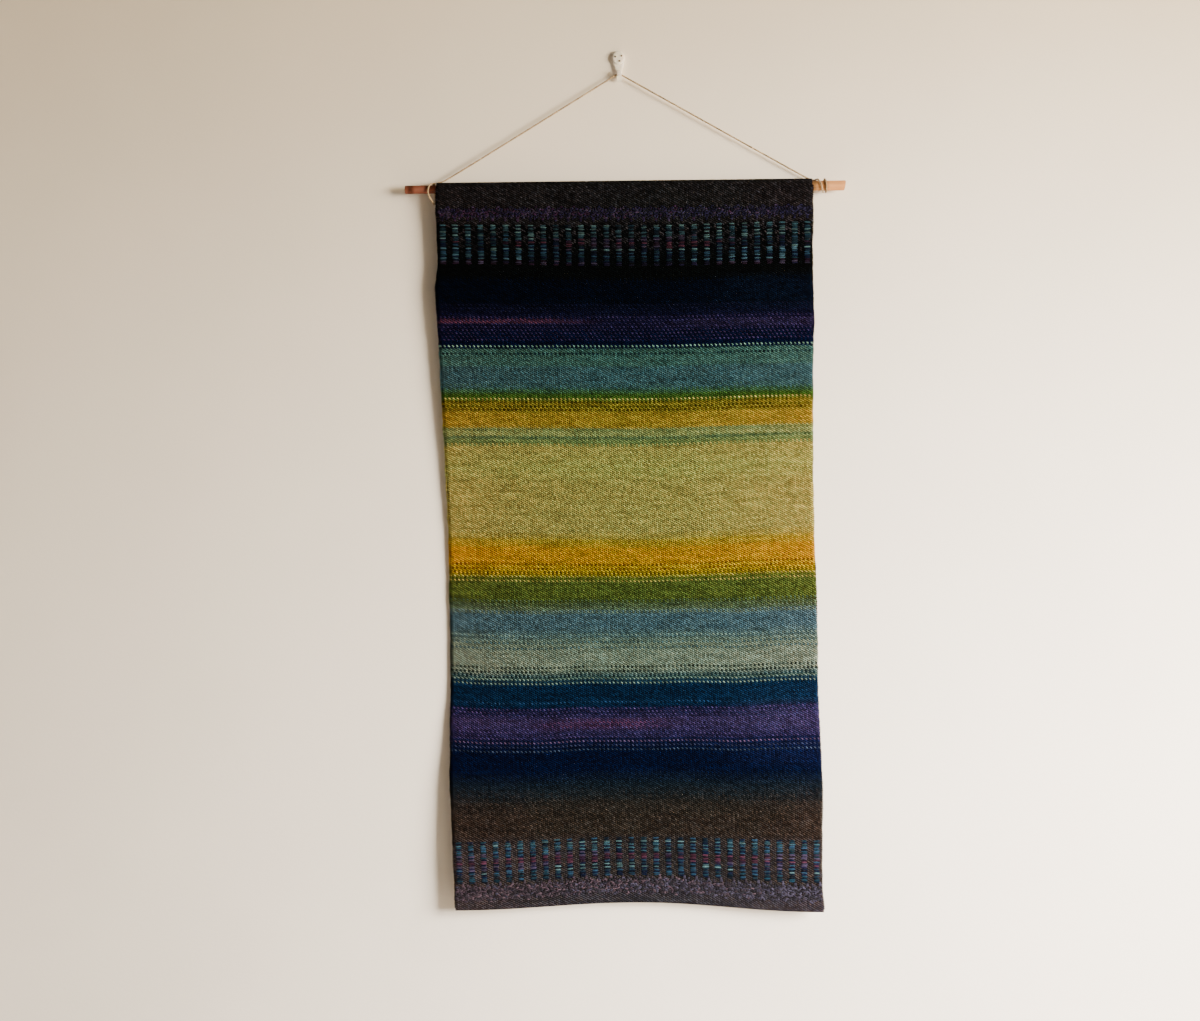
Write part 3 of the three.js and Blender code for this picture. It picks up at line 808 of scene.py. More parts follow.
    def _patches(self, weave: Weave, colour: Socket) -> Socket:
        """Turn the colour to another shade in soft patches along the rows: other dye, and in the two patches at the
        right edge partly painted sheen.

        Args:
            weave: What the finish works with.
            colour: The colour so far.

        Returns:
            The new colour.
        """
        wire = weave.wire
        level = wire.math("MULTIPLY", weave.pick, PICK / MM)
        broken = wire.noise(wire.vector(wire.math("MULTIPLY", weave.share, 9.0), weave.pick), 1.3, 2.0)
        broken = wire.span(broken, 0.3, 0.6, 0.35, 1.0)
        for patch in self.dye_and_sheen_patches:
            size = {"Centre": patch.centre, "Reach": patch.reach, "Level": patch.level, "Height": patch.height}
            mask = wire.group(weave.effects.patch, Share=weave.share, Down=level, **size).outputs[0]
            amount = wire.math("MULTIPLY", wire.math("MULTIPLY", mask, broken), patch.strength)
            colour = wire.mix(amount, colour, linear(patch.shade))
        return colour

    def _picks(self, weave: Weave, colour: Socket) -> Socket:
        """Lay in the single picks of other yarns, a little broken along their length.

        Args:
            weave: What the finish works with.
            colour: The colour so far.

        Returns:
            The new colour.
        """
        wire = weave.wire
        broken = wire.span(weave.along(14.0, 0.39), 0.3, 0.6, 0.5, 0.95)
        for rows in self.accents:
            ends = {"First": float(rows.first), "Last": float(rows.last), "Every": float(rows.every)}
            mask = wire.group(weave.effects.rows, Pick=weave.pick, **ends).outputs[0]
            colour = wire.mix(wire.math("MULTIPLY", mask, broken), colour, linear(rows.shade))
        return colour

    def _flecks(self, weave: Weave, colour: Socket) -> Socket:
        """Let single beads of the dark borders show a second, greyer yarn.

        Args:
            weave: What the finish works with.
            colour: The colour so far.

        Returns:
            The new colour.
        """
        wire = weave.wire
        chance = wire.span(wire.speck(wire.vector(weave.speck, weave.pick)), 0.4, 1.1)
        down = wire.math("MULTIPLY", weave.down, 1 / MM)
        for level, height, fleck in self.flecked:
            colour = wire.mix(wire.math("MULTIPLY", weave.zone(down, level, height), chance), colour, linear(fleck))
        return colour

    def _unevenness(self, weave: Weave, colour: Socket) -> Socket:
        """Make the yarn's light uneven from pick to pick and from bead to bead, and stronger at the selvedges.

        Args:
            weave: What the finish works with.
            colour: The colour so far.

        Returns:
            The new colour.
        """
        wire = weave.wire
        tone = weave.along(9.0, 0.617, 0.6)
        colour = wire.bright(colour, wire.span(tone, 0.3, 0.7, 0.7 * self.depth, 1.32 * self.depth))
        light = wire.node("RGBToBW")
        wire.feed(light.inputs[0], colour)
        swing = wire.span(light.outputs[0], 0.0, 0.06, 1.0, 0.7)  # more in the dark yarns
        speck = wire.math("SUBTRACT", weave.speck, 0.5)
        colour = wire.bright(colour, wire.math("MULTIPLY_ADD", speck, swing, 1.0))
        hue = wire.ramp(wire.speck(wire.vector(weave.speck, 3.0, weave.pick)), list(zip((0.0, 1.0), self.hues)))
        colour = wire.mix(0.45, colour, hue, "MULTIPLY")
        edge = wire.math("POWER", wire.math("ABSOLUTE", wire.math("MULTIPLY_ADD", weave.share, 2.0, -1.0)), 2.0)
        return wire.mix(edge, colour, self.edges, "MULTIPLY")


@dataclass(frozen=True)
class RaisedYarn:
    """The pattern yarn of the bars and braids, in the colours of its attribute."""

    def build(self, effects: Effects) -> bpy.types.Material:
        """Make the material.

        Args:
            effects: The shared node groups.

        Returns:
            The material.
        """
        made, wire, shader = new_material("pattern_yarn")
        colour = wire.node("Attribute", attribute_name=YARN).outputs["Color"]
        place = wire.node("TexCoord").outputs["Object"]
        fibre = wire.group(effects.fibre, Vector=place, Colour=colour, Contrast=2.4)
        wire.feed(shader.inputs["Base Color"], fibre.outputs["Colour"])
        bump(wire, shader, fibre.outputs["Height"], 0.0005, 0.8)
        set_shader(shader, Roughness=0.9, Specular_IOR_Level=0.05, Sheen_Weight=0.02, **WOOL_SHEEN)
        return made


@dataclass(frozen=True)
class OiledWood:
    """The rod's wood: reddish brown at the left end, blond at the right.

    Attributes:
        left_end: x of the left end in metres.
        right_end: x of the right end.
        shades: Shades by share of the length from the left.
    """

    left_end: float = -0.259
    right_end: float = 0.276
    shades: tuple[tuple[float, str], ...] = (
        (0.0, "5c3020"), (0.1, "52281b"), (0.5, "84583a"), (0.88, "bd9868"), (0.94, "ba9262"), (1.0, "a67244")
    )

    def build(self) -> bpy.types.Material:
        """Make the material.

        Returns:
            The material.
        """
        made, wire, shader = new_material("rod_wood")
        place = wire.node("TexCoord").outputs["Object"]
        stretch = wire.node("Mapping")
        wire.feed(stretch.inputs["Vector"], place)
        wire.feed(stretch.inputs["Scale"], (14.0, 420.0, 420.0))
        grain = wire.noise(stretch.outputs[0], 1.0, 4.0, 0.6)
        parts = wire.node("SeparateXYZ")
        wire.feed(parts.inputs[0], place)
        along = wire.span(parts.outputs[0], self.left_end, self.right_end)
        colour = wire.bright(wire.ramp(along, self.shades), wire.span(grain, 0.25, 0.75, 0.86, 1.1))
        wire.feed(shader.inputs["Base Color"], colour)
        wire.feed(shader.inputs["Roughness"], wire.span(grain, 0.2, 0.8, 0.62, 0.78))
        bump(wire, shader, grain, 0.00012)
        set_shader(shader, Specular_IOR_Level=0.2)
        return made


@dataclass(frozen=True)
class TwistedTwine:
    """The cord's twine, with its shades by share of a slow noise."""

    shades: tuple[tuple[float, str], ...] = ((0.2, "806848"), (0.5, "a58a66"), (0.8, "ccb48e"))

    def build(self, effects: Effects) -> bpy.types.Material:
        """Make the material.

        Args:
            effects: The shared node groups.

        Returns:
            The material.
        """
        made, wire, shader = new_material("cord_twine")
        place = wire.node("TexCoord").outputs["Object"]
        tone = wire.noise(place, 90.0, 2.0)
        colour = wire.ramp(tone, self.shades)
        fibre = wire.group(effects.fibre, Vector=place, Colour=colour, Contrast=0.9)
        wire.feed(shader.inputs["Base Color"], fibre.outputs["Colour"])
        bump(wire, shader, fibre.outputs["Height"], 0.0002, 0.8)
        set_shader(shader, Roughness=0.75, Sheen_Weight=0.2, Specular_IOR_Level=0.3)
        return made


@dataclass(frozen=True)
class MouldedPlastic:
    """The hook's off-white moulded plastic."""

    shade: str = "eae2d6"

    def build(self) -> bpy.types.Material:
        """Make the material.

        Returns:
            The material.
        """
        made, wire, shader = new_material("hook_plastic")
        place = wire.node("TexCoord").outputs["Object"]
        cloud = wire.noise(place, 70.0, 2.0)
        skin = wire.noise(place, 1400.0, 2.0)
        colour = wire.bright(linear(self.shade)[:3], wire.span(cloud, 0.3, 0.7, 0.95, 1.03))
        wire.feed(shader.inputs["Base Color"], colour)
        wire.feed(shader.inputs["Roughness"], wire.span(cloud, 0.3, 0.7, 0.34, 0.44))
        bump(wire, shader, skin, 0.00003, 0.5)
        set_shader(shader, Subsurface_Weight=0.08, Subsurface_Scale=0.002)
        return made


@dataclass(frozen=True)
class PlainSteel:
    """The small steel pins, with their shades by share of a fine noise."""

    shades: tuple[tuple[float, str], ...] = ((0.3, "6a5c48"), (0.7, "9a9080"))

    def build(self) -> bpy.types.Material:
        """Make the material.

        Returns:
            The material.
        """
        made, wire, shader = new_material("pin_steel")
        place = wire.node("TexCoord").outputs["Object"]
        stain = wire.noise(place, 900.0, 3.0)
        wire.feed(shader.inputs["Base Color"], wire.ramp(stain, self.shades))
        wire.feed(shader.inputs["Roughness"], wire.span(stain, 0.3, 0.7, 0.35, 0.55))
        set_shader(shader, Metallic=0.85)
        return made


@dataclass(frozen=True)
class PaleSurface:
    """The plain pale wall or floor, seen through from behind where asked."""

    name: str
    shade: str
    see_through_behind: bool = False

    def build(self) -> bpy.types.Material:
        """Make the material.

        Returns:
            The material.
        """
        made, wire, shader = new_material(self.name)
        place = wire.node("TexCoord").outputs["Object"]
        cloud = wire.noise(place, 3.0, 3.0)
        colour = wire.bright(linear(self.shade)[:3], wire.span(cloud, 0.3, 0.7, 0.97, 1.02))
        wire.feed(shader.inputs["Base Color"], colour)
        bump(wire, shader, wire.noise(place, 260.0, 3.0), 0.0004, 0.25)
        set_shader(shader, Roughness=0.9, Specular_IOR_Level=0.1)
        if self.see_through_behind:
            blend = wire.node("MixShader")
            wire.feed(blend.inputs[0], wire.node("NewGeometry").outputs["Backfacing"])
            wire.feed(blend.inputs[1], shader.outputs[0])
            wire.feed(blend.inputs[2], wire.node("BsdfTransparent").outputs[0])
            output = next(n for n in made.node_tree.nodes if n.type == "OUTPUT_MATERIAL")
            wire.feed(output.inputs["Surface"], blend.outputs[0])
        return made


# Making objects


def finish_piece(name: str, mesh: bmesh.types.BMesh, material: bpy.types.Material) -> bpy.types.Object:
    """Turn a bmesh into a smoothly shaded object that rides with the part.

    Args:
        name: Name of the piece.
        mesh: Its shape, which is freed.
        material: Its material.

    Returns:
        The object.
    """
    data = bpy.data.meshes.new(name)
    for face in mesh.faces:
        face.smooth = True
    mesh.to_mesh(data)
    mesh.free()
    data.materials.append(material)
    piece = bpy.data.objects.new(name, data)
    bpy.context.scene.collection.objects.link(piece)
    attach(piece, BODY)
    LOG.info("%s: %d faces", name, len(data.polygons))
    return piece


def sweep(rings: Sequence[Sequence[Vector]], closed: bool = False) -> bmesh.types.BMesh:
    """Extrude one ring of points through a row of rings.

    Args:
        rings: Rings with the same number of points, in order.
        closed: Whether the last ring joins the first, instead of closed ends.

    Returns:
        The tube.
    """
    mesh = bmesh.new()
    bmesh.ops.create_circle(mesh, segments=len(rings[0]), radius=1.0, cap_ends=True)
    start = cap = mesh.faces[:][0]
    for vert, point in zip(cap.verts, rings[0]):
        vert.co = point
    for ring in rings[1:]:
        grown = bmesh.ops.extrude_face_region(mesh, geom=[cap])["geom"]
        cap = next(g for g in grown if isinstance(g, bmesh.types.BMFace))
        for vert, point in zip(cap.verts, ring):
            vert.co = point
    if closed:
        bmesh.ops.bridge_loops(mesh, edges=[*start.edges, *cap.edges])
        bmesh.ops.delete(mesh, geom=[start, cap], context="FACES_ONLY")
    bmesh.ops.recalc_face_normals(mesh, faces=mesh.faces[:])
    return mesh


# The way the cloth hangs


class Line(NamedTuple):
    """One woven line of the front, in millimetres.

    down is the distance down the cloth from the crest of the sleeve, left and right the x of the two
    selvedges, z_left, z_middle and z_right the line's height and the outs its distance from the wall.
    """

    down: float
    left: float
    right: float
    z_left: float
    z_middle: float
    z_right: float
    out_left: float
    out_middle: float
    out_right: float


@dataclass(frozen=True)
class RodSizes:
    """Sizes of the rod in millimetres, as in the CAD model."""

    left: float = -258.8
    right: float = 275.7
    radius_left: float = 5.1
    radius_right: float = 6.1
    from_wall: float = 12.0
    axis_height: float = -149.75
    rise: float = 0.01016
    chamfer: float = 0.9
    oblique_cut: float = 0.15

    def height(self, x: float) -> float:
        """Give the height of the axis at x."""
        return self.axis_height + self.rise * x

    def radius(self, x: float) -> float:
        """Give the radius at x."""
        return self.radius_left + (self.radius_right - self.radius_left) * (x - self.left) / (self.right - self.left)


ROD = RodSizes()


def hermite(t: float) -> tuple[float, float, float, float]:
    """Give the weights of the start, its slope, the end and its slope at share t of a smooth stretch."""
    return 2 * t**3 - 3 * t**2 + 1, t**3 - 2 * t**2 + t, 3 * t**2 - 2 * t**3, t**3 - t**2


@dataclass(frozen=True)
class Drape:
    """The shape in which the cloth hangs, in millimetres, as in the CAD model.

    Attributes:
        lines: The woven lines of the front.
        thickness: Thickness of the cloth.
        rod_clearance: Gap between the rod and the sleeve.
        layer_gap: Gap between two layers.
        sleeve_meets: Distance down the cloth at which the back of the sleeve meets the front.
        sleeve_tail: Distance down the cloth at which the sleeve's layer ends.
        hem_flap: Height of the hem's second layer.
        settle: Distance over which the cloth comes from the rod to its lines.
    """

    lines: tuple[Line, ...] = (
        Line(11.5, -220.3, 235.1, -152, -149.7, -147.4, 19.9, 20.4, 20.9),
        Line(33.4, -220.5, 235.3, -173.2, -172, -169.8, 18.5, 18.5, 19.5),
        Line(56, -219.4, 235.4, -195.3, -196, -191.4, 17.5, 17.5, 18.5),
        Line(105.4, -218.3, 235.5, -243.1, -245.5, -242.4, 16.5, 16, 17.5),
        Line(136, -221, 236.2, -274.6, -275.7, -272.3, 16, 15.5, 17),
        Line(177.2, -218.2, 237.3, -316.9, -316.8, -312.8, 15, 14.5, 16),
        Line(202.4, -216.7, 236.3, -342, -342, -338, 14, 13.5, 15),
        Line(265.7, -213.5, 236.1, -405.2, -405.8, -401.1, 11.5, 11, 13),
        Line(325, -210.6, 236.4, -464.6, -465.8, -459.3, 9, 8.5, 11),
        Line(389.2, -207.5, 237.2, -529.1, -530.3, -523, 6.5, 6.5, 9),
        Line(445.4, -205.4, 238.6, -585.2, -587, -579, 4.8, 5, 7.5),
        Line(499.3, -204.8, 241.2, -638.9, -641.3, -632.7, 4, 4.4, 6.5),
        Line(556.4, -203.3, 242.2, -696.2, -698.6, -689.3, 3.8, 4.2, 6.5),
        Line(613.7, -203, 242.6, -753.9, -755.9, -746.1, 4.6, 4.4, 8),
        Line(673.3, -203.7, 244.5, -813.8, -814.8, -806.1, 9, 6.5, 12),
        Line(731.4, -203.1, 246.9, -872.4, -870.8, -866, 15, 10, 17),
        Line(802.4, -199.8, 246.3, -943.4, -938.1, -940.7, 20, 14, 21),
        Line(851.5, -197.5, 246.4, -993.6, -983.8, -992.1, 21, 16, 22),
        Line(886, -196.9, 249.2, -1026.5, -1017.7, -1028.4, 20, 16, 22),
    )
    thickness: float = 2.4
    rod_clearance: float = 0.45
    layer_gap: float = 0.6
    sleeve_meets: float = 36.0
    sleeve_tail: float = 48.0
    hem_flap: float = 26.0
    settle: float = 60.0

    @property
    def half(self) -> float:
        """Half the thickness."""
        return self.thickness / 2

    @property
    def layer(self) -> float:
        """Distance between the middles of two layers."""
        return self.thickness + self.layer_gap

    @property
    def first(self) -> float:
        """Distance down the cloth level with the rod."""
        return self.lines[0].down

    @property
    def last(self) -> float:
        """Distance down the cloth to the turned edge."""
        return self.lines[-1].down

    @property
    def fold_start(self) -> float:
        """Distance down the cloth at which the hem begins to turn."""
        return self.last - self.thickness - self.layer_gap / 2

    @cached_property
    def slopes(self) -> np.ndarray:
        """Change of each column of the table of lines per millimetre down, at each line."""
        rows = np.array(self.lines)
        count = len(rows)
        before = rows[[max(0, i - 1) for i in range(count)]]
        after = rows[[min(count - 1, i + 1) for i in range(count)]]
        return (after - before) / (after[:, :1] - before[:, :1])

    @cached_property
    def downs(self) -> list[float]:
        """Distances of the lines down the cloth."""
        return [row.down for row in self.lines]

    def line_at(self, down: float) -> Line:
        """Read the table of lines smoothly.

        Args:
            down: Distance down the cloth.

        Returns:
            The line there.
        """
        i = min(len(self.lines) - 1, max(1, bisect_left(self.downs, down)))
        low, high = np.array(self.lines[i - 1]), np.array(self.lines[i])
        span = high[0] - low[0]
        t = min(1.0, max(0.0, (down - low[0]) / span))
        a, b, c, d = hermite(t)
        return Line(*(a * low + b * span * self.slopes[i - 1] + c * high + d * span * self.slopes[i]))

    @staticmethod
    def across(u: np.ndarray, left: float, middle: float, right: float) -> np.ndarray:
        """Blend from the left value to the middle one and on to the right one.

        Args:
            u: Shares of the width.
            left: Value at the left.
            middle: Value in the middle.
            right: Value at the right.

        Returns:
            The values at u.
        """
        part = np.where(u < 0.5, u * 2, (u - 0.5) * 2)
        ease = 0.5 - 0.5 * np.cos(np.pi * part)
        return np.where(u < 0.5, left + (middle - left) * ease, middle + (right - middle) * ease)

    def x_at(self, u: np.ndarray, down: float) -> np.ndarray:
        """Give x at shares u of the width.

        Args:
            u: Shares of the width.
            down: Distance down the cloth.

        Returns:
            The x values.
        """
        line = self.line_at(down)
        return line.left + (line.right - line.left) * u

    def sleeve_radius(self, x: np.ndarray) -> np.ndarray:
        """Give the radius of the cloth's middle round the rod at x."""
        return ROD.radius(x) + self.rod_clearance + self.half

    def front(self, u: np.ndarray, down: float) -> tuple[np.ndarray, np.ndarray]:
        """Middle of the cloth's thickness on the hanging front.

        Args:
            u: Shares of the width.
            down: Distance down the cloth.

        Returns:
            y and z.
        """
        x = self.x_at(u, self.first)
        t = min(1.0, max(0.0, (down - self.first) / self.settle))
        near = 1 - hermite(t)[2]
        line, top = self.line_at(down), self.lines[0]
        top_out = self.across(u, top.out_left, top.out_middle, top.out_right)
        top_z = self.across(u, top.z_left, top.z_middle, top.z_right)
        rod_out = ROD.from_wall + self.sleeve_radius(x) + self.half
        out = self.across(u, line.out_left, line.out_middle, line.out_right) + near * (rod_out - top_out)
        z = self.across(u, line.z_left, line.z_middle, line.z_right) + near * (ROD.height(x) - top_z)
        return -(out - self.half), z

    def to_wall(self, u: np.ndarray, down: float) -> tuple[np.ndarray, np.ndarray]:
        """Unit direction from the front towards the wall, square to the cloth.

        Args:
            u: Shares of the width.
            down: Distance down the cloth.

        Returns:
            Its y and z parts.
        """
        y0, z0 = self.front(u, max(self.first, down - 2))
        y1, z1 = self.front(u, min(self.last, down + 2))
        length = np.hypot(y1 - y0, z1 - z0)
        return (z0 - z1) / length, (y1 - y0) / length

    def behind(self, u: np.ndarray, down: float) -> tuple[np.ndarray, np.ndarray]:
        """Middle of a second layer behind the front.

        Args:
            u: Shares of the width.
            down: Distance down the cloth.

        Returns:
            y and z.
        """
        y, z = self.front(u, down)
        ny, nz = self.to_wall(u, down)
        return y + ny * self.layer, z + nz * self.layer

    def sleeve_back(self, u: np.ndarray, t: float) -> tuple[np.ndarray, np.ndarray]:
        """Back of the sleeve, from where it leaves the front to straight behind the rod.

        Args:
            u: Shares of the width.
            t: 0 at the foot, 1 at the rod.

        Returns:
            y and z.
        """
        x = self.x_at(u, self.first)
        foot_y, foot_z = self.behind(u, self.sleeve_meets)
        head_y, head_z = -ROD.from_wall + self.sleeve_radius(x), ROD.height(x)
        rise = head_z - foot_z
        lean_y, lean_z = self.to_wall(u, self.sleeve_meets)
        a, b, c, d = hermite(t)
        y = a * foot_y - b * lean_z * rise + c * head_y
        z = a * foot_z + b * lean_y * rise + c * head_z + d * rise
        return y, z

    def around_rod(self, u: np.ndarray, angle: float) -> tuple[np.ndarray, np.ndarray]:
        """The sleeve round the rod.

        Args:
            u: Shares of the width.
            angle: 0 straight behind, a half turn straight in front.

        Returns:
            y and z.
        """
        x = self.x_at(u, self.first)
        radius = self.sleeve_radius(x)
        return -ROD.from_wall + radius * math.cos(angle), ROD.height(x) + radius * math.sin(angle)

    def around_hem(self, u: np.ndarray, angle: float) -> tuple[np.ndarray, np.ndarray]:
        """The turn of the hem.

        Args:
            u: Shares of the width.
            angle: 0 at the front layer, a half turn at the flap.

        Returns:
            y and z.
        """
        y, z = self.front(u, self.fold_start)
        ny, nz = self.to_wall(u, self.fold_start)
        reach, along, low = self.layer / 2, 1 - math.cos(angle), math.sin(angle)
        return y + reach * (ny * along + nz * low), z + reach * (nz * along - ny * low)

    def seat(self, u: float, down: float, lift: float = 0.0) -> Matrix:
        """Place something on the face of the hanging cloth.

        Args:
            u: Share of the width.
            down: Distance down the cloth in millimetres.
            lift: Millimetres above the face.

        Returns:
            A matrix in metres, whose X runs across the cloth, Z up it and -Y away from its middle.
        """
        spot = np.array([u])
        y, z = (part[0] for part in self.front(spot, down))
        ny, nz = (part[0] for part in self.to_wall(spot, down))
        reach = -(self.half + lift)
        place = Vector((self.x_at(spot, down)[0], y + ny * reach, z + nz * reach)) * MM
        beside = np.array([u + 0.01])
        by, bz = (part[0] for part in self.front(beside, down))
        right = Vector((self.x_at(beside, down)[0] - self.x_at(spot, down)[0], by - y, bz - z)).normalized()
        inward = Vector((0.0, ny, nz))
        inward = (inward - right * inward.dot(right)).normalized()
        up = right.cross(inward)
        return Matrix.Translation(place) @ Matrix((right, inward, up)).transposed().to_4x4()


class Station(NamedTuple):
    """One row of the cloth's grid: its place along the weave, the line whose x it has, and its shape."""

    along: float
    line: float
    shape: Callable[[np.ndarray], tuple[np.ndarray, np.ndarray]]


@dataclass
class Cloth:
    """The rug's cloth with its sleeve, turned hem, bars, braids and selvedges.

    Attributes:
        drape: The way it hangs.
        columns: Columns of the grid.
        row_height: Height of the grid's rows on the front, in millimetres.
        wrap: Radius in millimetres of the sleeve's turn round the rod, taken for its length.
        tail_rows: Rows of the grid on the sleeve's tail.
        back_rows: Rows on the back of the sleeve.
        rod_rows: Rows round the rod.
        turn_rows: Rows round the hem's turn.
        flap_rows: Rows on the hem's flap.
        bars: Number of bars in a band.
        first_bar: Warp end at the middle of the first bar.
        bar_pitch: Warp ends from one bar to the next.
    """

    drape: Drape = field(default_factory=Drape)
    columns: int = 120
    row_height: float = 5.0
    wrap: float = 7.4
    tail_rows: int = 3
    back_rows: int = 10
    rod_rows: int = 20
    turn_rows: int = 6
    flap_rows: int = 6
    bars: int = 30
    first_bar: float = 2.5
    bar_pitch: float = 6.0

    def stations(self) -> list[Station]:
        """List the rows of the grid from the tail of the sleeve to the end of the hem's flap.

        Returns:
            The rows.
        """
        hang = self.drape
        rows: list[Station] = []
        reach = math.pi / 2 * self.wrap
        back = hang.sleeve_meets - hang.first
        for i in range(self.tail_rows):
            down = hang.sleeve_tail + (hang.sleeve_meets - hang.sleeve_tail) * i / self.tail_rows
            along = -reach - back - (down - hang.sleeve_meets)
            rows.append(Station(along, down, lambda u, d=down: hang.behind(u, d)))
        for i in range(self.back_rows):
            t = i / self.back_rows
            down = hang.sleeve_meets + (hang.first - hang.sleeve_meets) * t
            rows.append(Station(-reach - back * (1 - t), down, lambda u, t=t: hang.sleeve_back(u, t)))
        for i in range(self.rod_rows):
            angle = math.pi * i / self.rod_rows
            along = reach * (2 * i / self.rod_rows - 1)
            rows.append(Station(along, hang.first, lambda u, a=angle: hang.around_rod(u, a)))
        steps = round((hang.fold_start - hang.first) / self.row_height)
        for i in range(steps + 1):
            down = hang.first + (hang.fold_start - hang.first) * i / steps
            rows.append(Station(down, down, lambda u, d=down: hang.front(u, d)))
        for i in range(1, self.turn_rows):
            angle = math.pi * i / self.turn_rows
            along = hang.fold_start + hang.layer / 2 * angle
            rows.append(Station(along, hang.last, lambda u, a=angle: hang.around_hem(u, a)))
        turned = hang.fold_start + hang.layer / 2 * math.pi
        for i in range(self.flap_rows + 1):
            flap = hang.hem_flap * i / self.flap_rows
            down = hang.fold_start - flap
            rows.append(Station(turned + flap, down, lambda u, d=down: hang.behind(u, d)))
        return rows

    def build(self, wool: bpy.types.Material, yarn: bpy.types.Material) -> list[bpy.types.Object]:
        """Args:
            wool: Material of the plain weave.
            yarn: Material of the pattern yarn.

        Returns:
            The pieces.
        """
        cloth = self._sheet(wool)
        edges = [self._selvedge(side, wool) for side in Side]
        bars = [self._bars(band, yarn) for band in BAR_BANDS]
        braids = [self._braid(band, yarn) for band in BRAID_BANDS]
        woven = [*edges, *bars, *braids]
        rows = self.stations()
        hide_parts("cloth")
        return [cloth, *woven]

    def _sheet(self, wool: bpy.types.Material) -> bpy.types.Object:
        """Make the plain weave as a grid laid on the way it hangs.

        Args:
            wool: Its material.

        Returns:
            The piece.
        """
        rows = self.stations()
        mesh = bmesh.new()
        bmesh.ops.create_grid(mesh, x_segments=self.columns, y_segments=len(rows) - 1, size=0.5)
        u = np.linspace(0.0, 1.0, self.columns + 1)
        table = [(self.drape.x_at(u, row.line), *row.shape(u)) for row in rows]
        uv = mesh.loops.layers.uv.new(WEAVE_UV)
        spots: dict[bmesh.types.BMVert, tuple[int, int]] = {}
        for vert in mesh.verts:
            column = round((vert.co.x + 0.5) * self.columns)
            row = round((vert.co.y + 0.5) * (len(rows) - 1))
            spots[vert] = (column, row)
            vert.co = Vector([part[column] for part in table[row]]) * MM
        for face in mesh.faces:
            for loop in face.loops:
                column, row = spots[loop.vert]
                loop[uv].uv = (u[column] * WIDTH, rows[row].along * MM)
        piece = finish_piece("rug_cloth", mesh, wool)
        thick = piece.modifiers.new("thickness", "SOLIDIFY")
        thick.thickness = self.drape.thickness * MM
        thick.offset = 0.0
        thick.use_even_offset = True
        return piece

    def _selvedge(self, side: "Side", wool: bpy.types.Material) -> bpy.types.Object:
        """Make the turns of the weft along one edge.

        Args:
            side: The edge.
            wool: Material of the plain weave.

        Returns:
            The piece.
        """
        rng = random.Random(side.value)
        u = 0.0 if side is Side.LEFT else 1.0
        out = -1.0 if side is Side.LEFT else 1.0
        heap = BeadHeap()
        step = 2 * PICK / MM
        count = int((self.drape.fold_start - self.drape.first) / step)
        swell = 0.0
        for i in range(count):
            down = self.drape.first + step * (i + 0.5)
            swell = 0.72 * swell + rng.uniform(-0.34, 0.34)
            place = self.drape.seat(u, down, -self.drape.half)
            shift = Matrix.Translation((out * (0.1 + swell) * MM, 0, 0))
            turn = Matrix.Rotation(rng.uniform(-0.25, 0.25), 4, "Y")
            size = (rng.uniform(1.3, 1.6), rng.uniform(1.25, 1.42), 1.32)
            heap.add(place @ shift @ turn, size, uv=((0.5 if u == 0 else WARP_ENDS - 0.5) * END, down * MM))
        return heap.finish(f"selvedge_{side.name.lower()}", wool)

    def _bars(self, band: "BarBand", yarn: bpy.types.Material) -> bpy.types.Object:
        """Make the stacked weft floats of one band of bars.

        Args:
            band: The band.
            yarn: Material of the pattern yarn.

        Returns:
            The piece.
        """
        heap = BeadHeap()
        rng = random.Random(band.name)
        drift = Drift(rng)
        step = (band.bottom - band.top) / band.floats
        for bar in range(self.bars):
            centre, share = self.first_bar + self.bar_pitch * bar, bar / (self.bars - 1)
            for row in range(band.floats):
                down = band.top + step * (row + 0.5) + rng.uniform(-0.12, 0.12)
                place = self.drape.seat((centre + rng.uniform(-0.15, 0.15)) / WARP_ENDS, down)
                turn = Matrix.Rotation(rng.uniform(-0.1, 0.1), 4, "Y")
                wide, out, tall = rng.uniform(3.3, 4.3), rng.uniform(0.6, 0.95), step / 2 * rng.uniform(0.75, 1.05)
                shade = band.shade(rng, drift, share, bar, row)
                tone = band.tone * rng.uniform(0.5, 1.5) * (0.9 + 0.4 * abs(2 * share - 1))
                heap.add(place @ turn, (wide, out, tall), shade=shade, tone=tone, blunt=0.6)
        return heap.finish(f"{band.name}_bars", yarn)

    def _braid(self, band: "BraidBand", yarn: bpy.types.Material) -> bpy.types.Object:
        """Make the short floats of one braided band.

        Args:
            band: The band.
            yarn: Material of the pattern yarn.

        Returns:
            The piece.
        """
        heap = BeadHeap()
        rng = random.Random(band.name)
        for bar in range(-1, self.bars + 1):
            centre = self.first_bar + self.bar_pitch * bar
            for stroke in band.strokes():
                end = centre + stroke.aside + rng.uniform(-0.15, 0.15)
                if not 0.4 < end < WARP_ENDS - 0.4:
                    continue
                down = band.place(stroke.down) + rng.uniform(-0.2, 0.2)
                tilt = math.radians(stroke.tilt * band.way + rng.uniform(-8, 8))
                place = self.drape.seat(end / WARP_ENDS, down, 0.05)
                wide = stroke.ends * END / MM / 2 * rng.uniform(0.95, 1.2)
                out, tall = rng.uniform(0.6, 0.85), rng.uniform(0.9, 1.15)
                shade, tone = band.shade(rng, end / WARP_ENDS), band.tone * rng.uniform(0.5, 1.5)
                turn = Matrix.Rotation(tilt, 4, "Y")
                heap.add(place @ turn, (wide, out, tall), shade=shade, tone=tone, blunt=0.75)
        return heap.finish(f"{band.name}_braid", yarn)


class Side(Enum):
    """The two edges of the cloth."""

    LEFT = 1
    RIGHT = 2


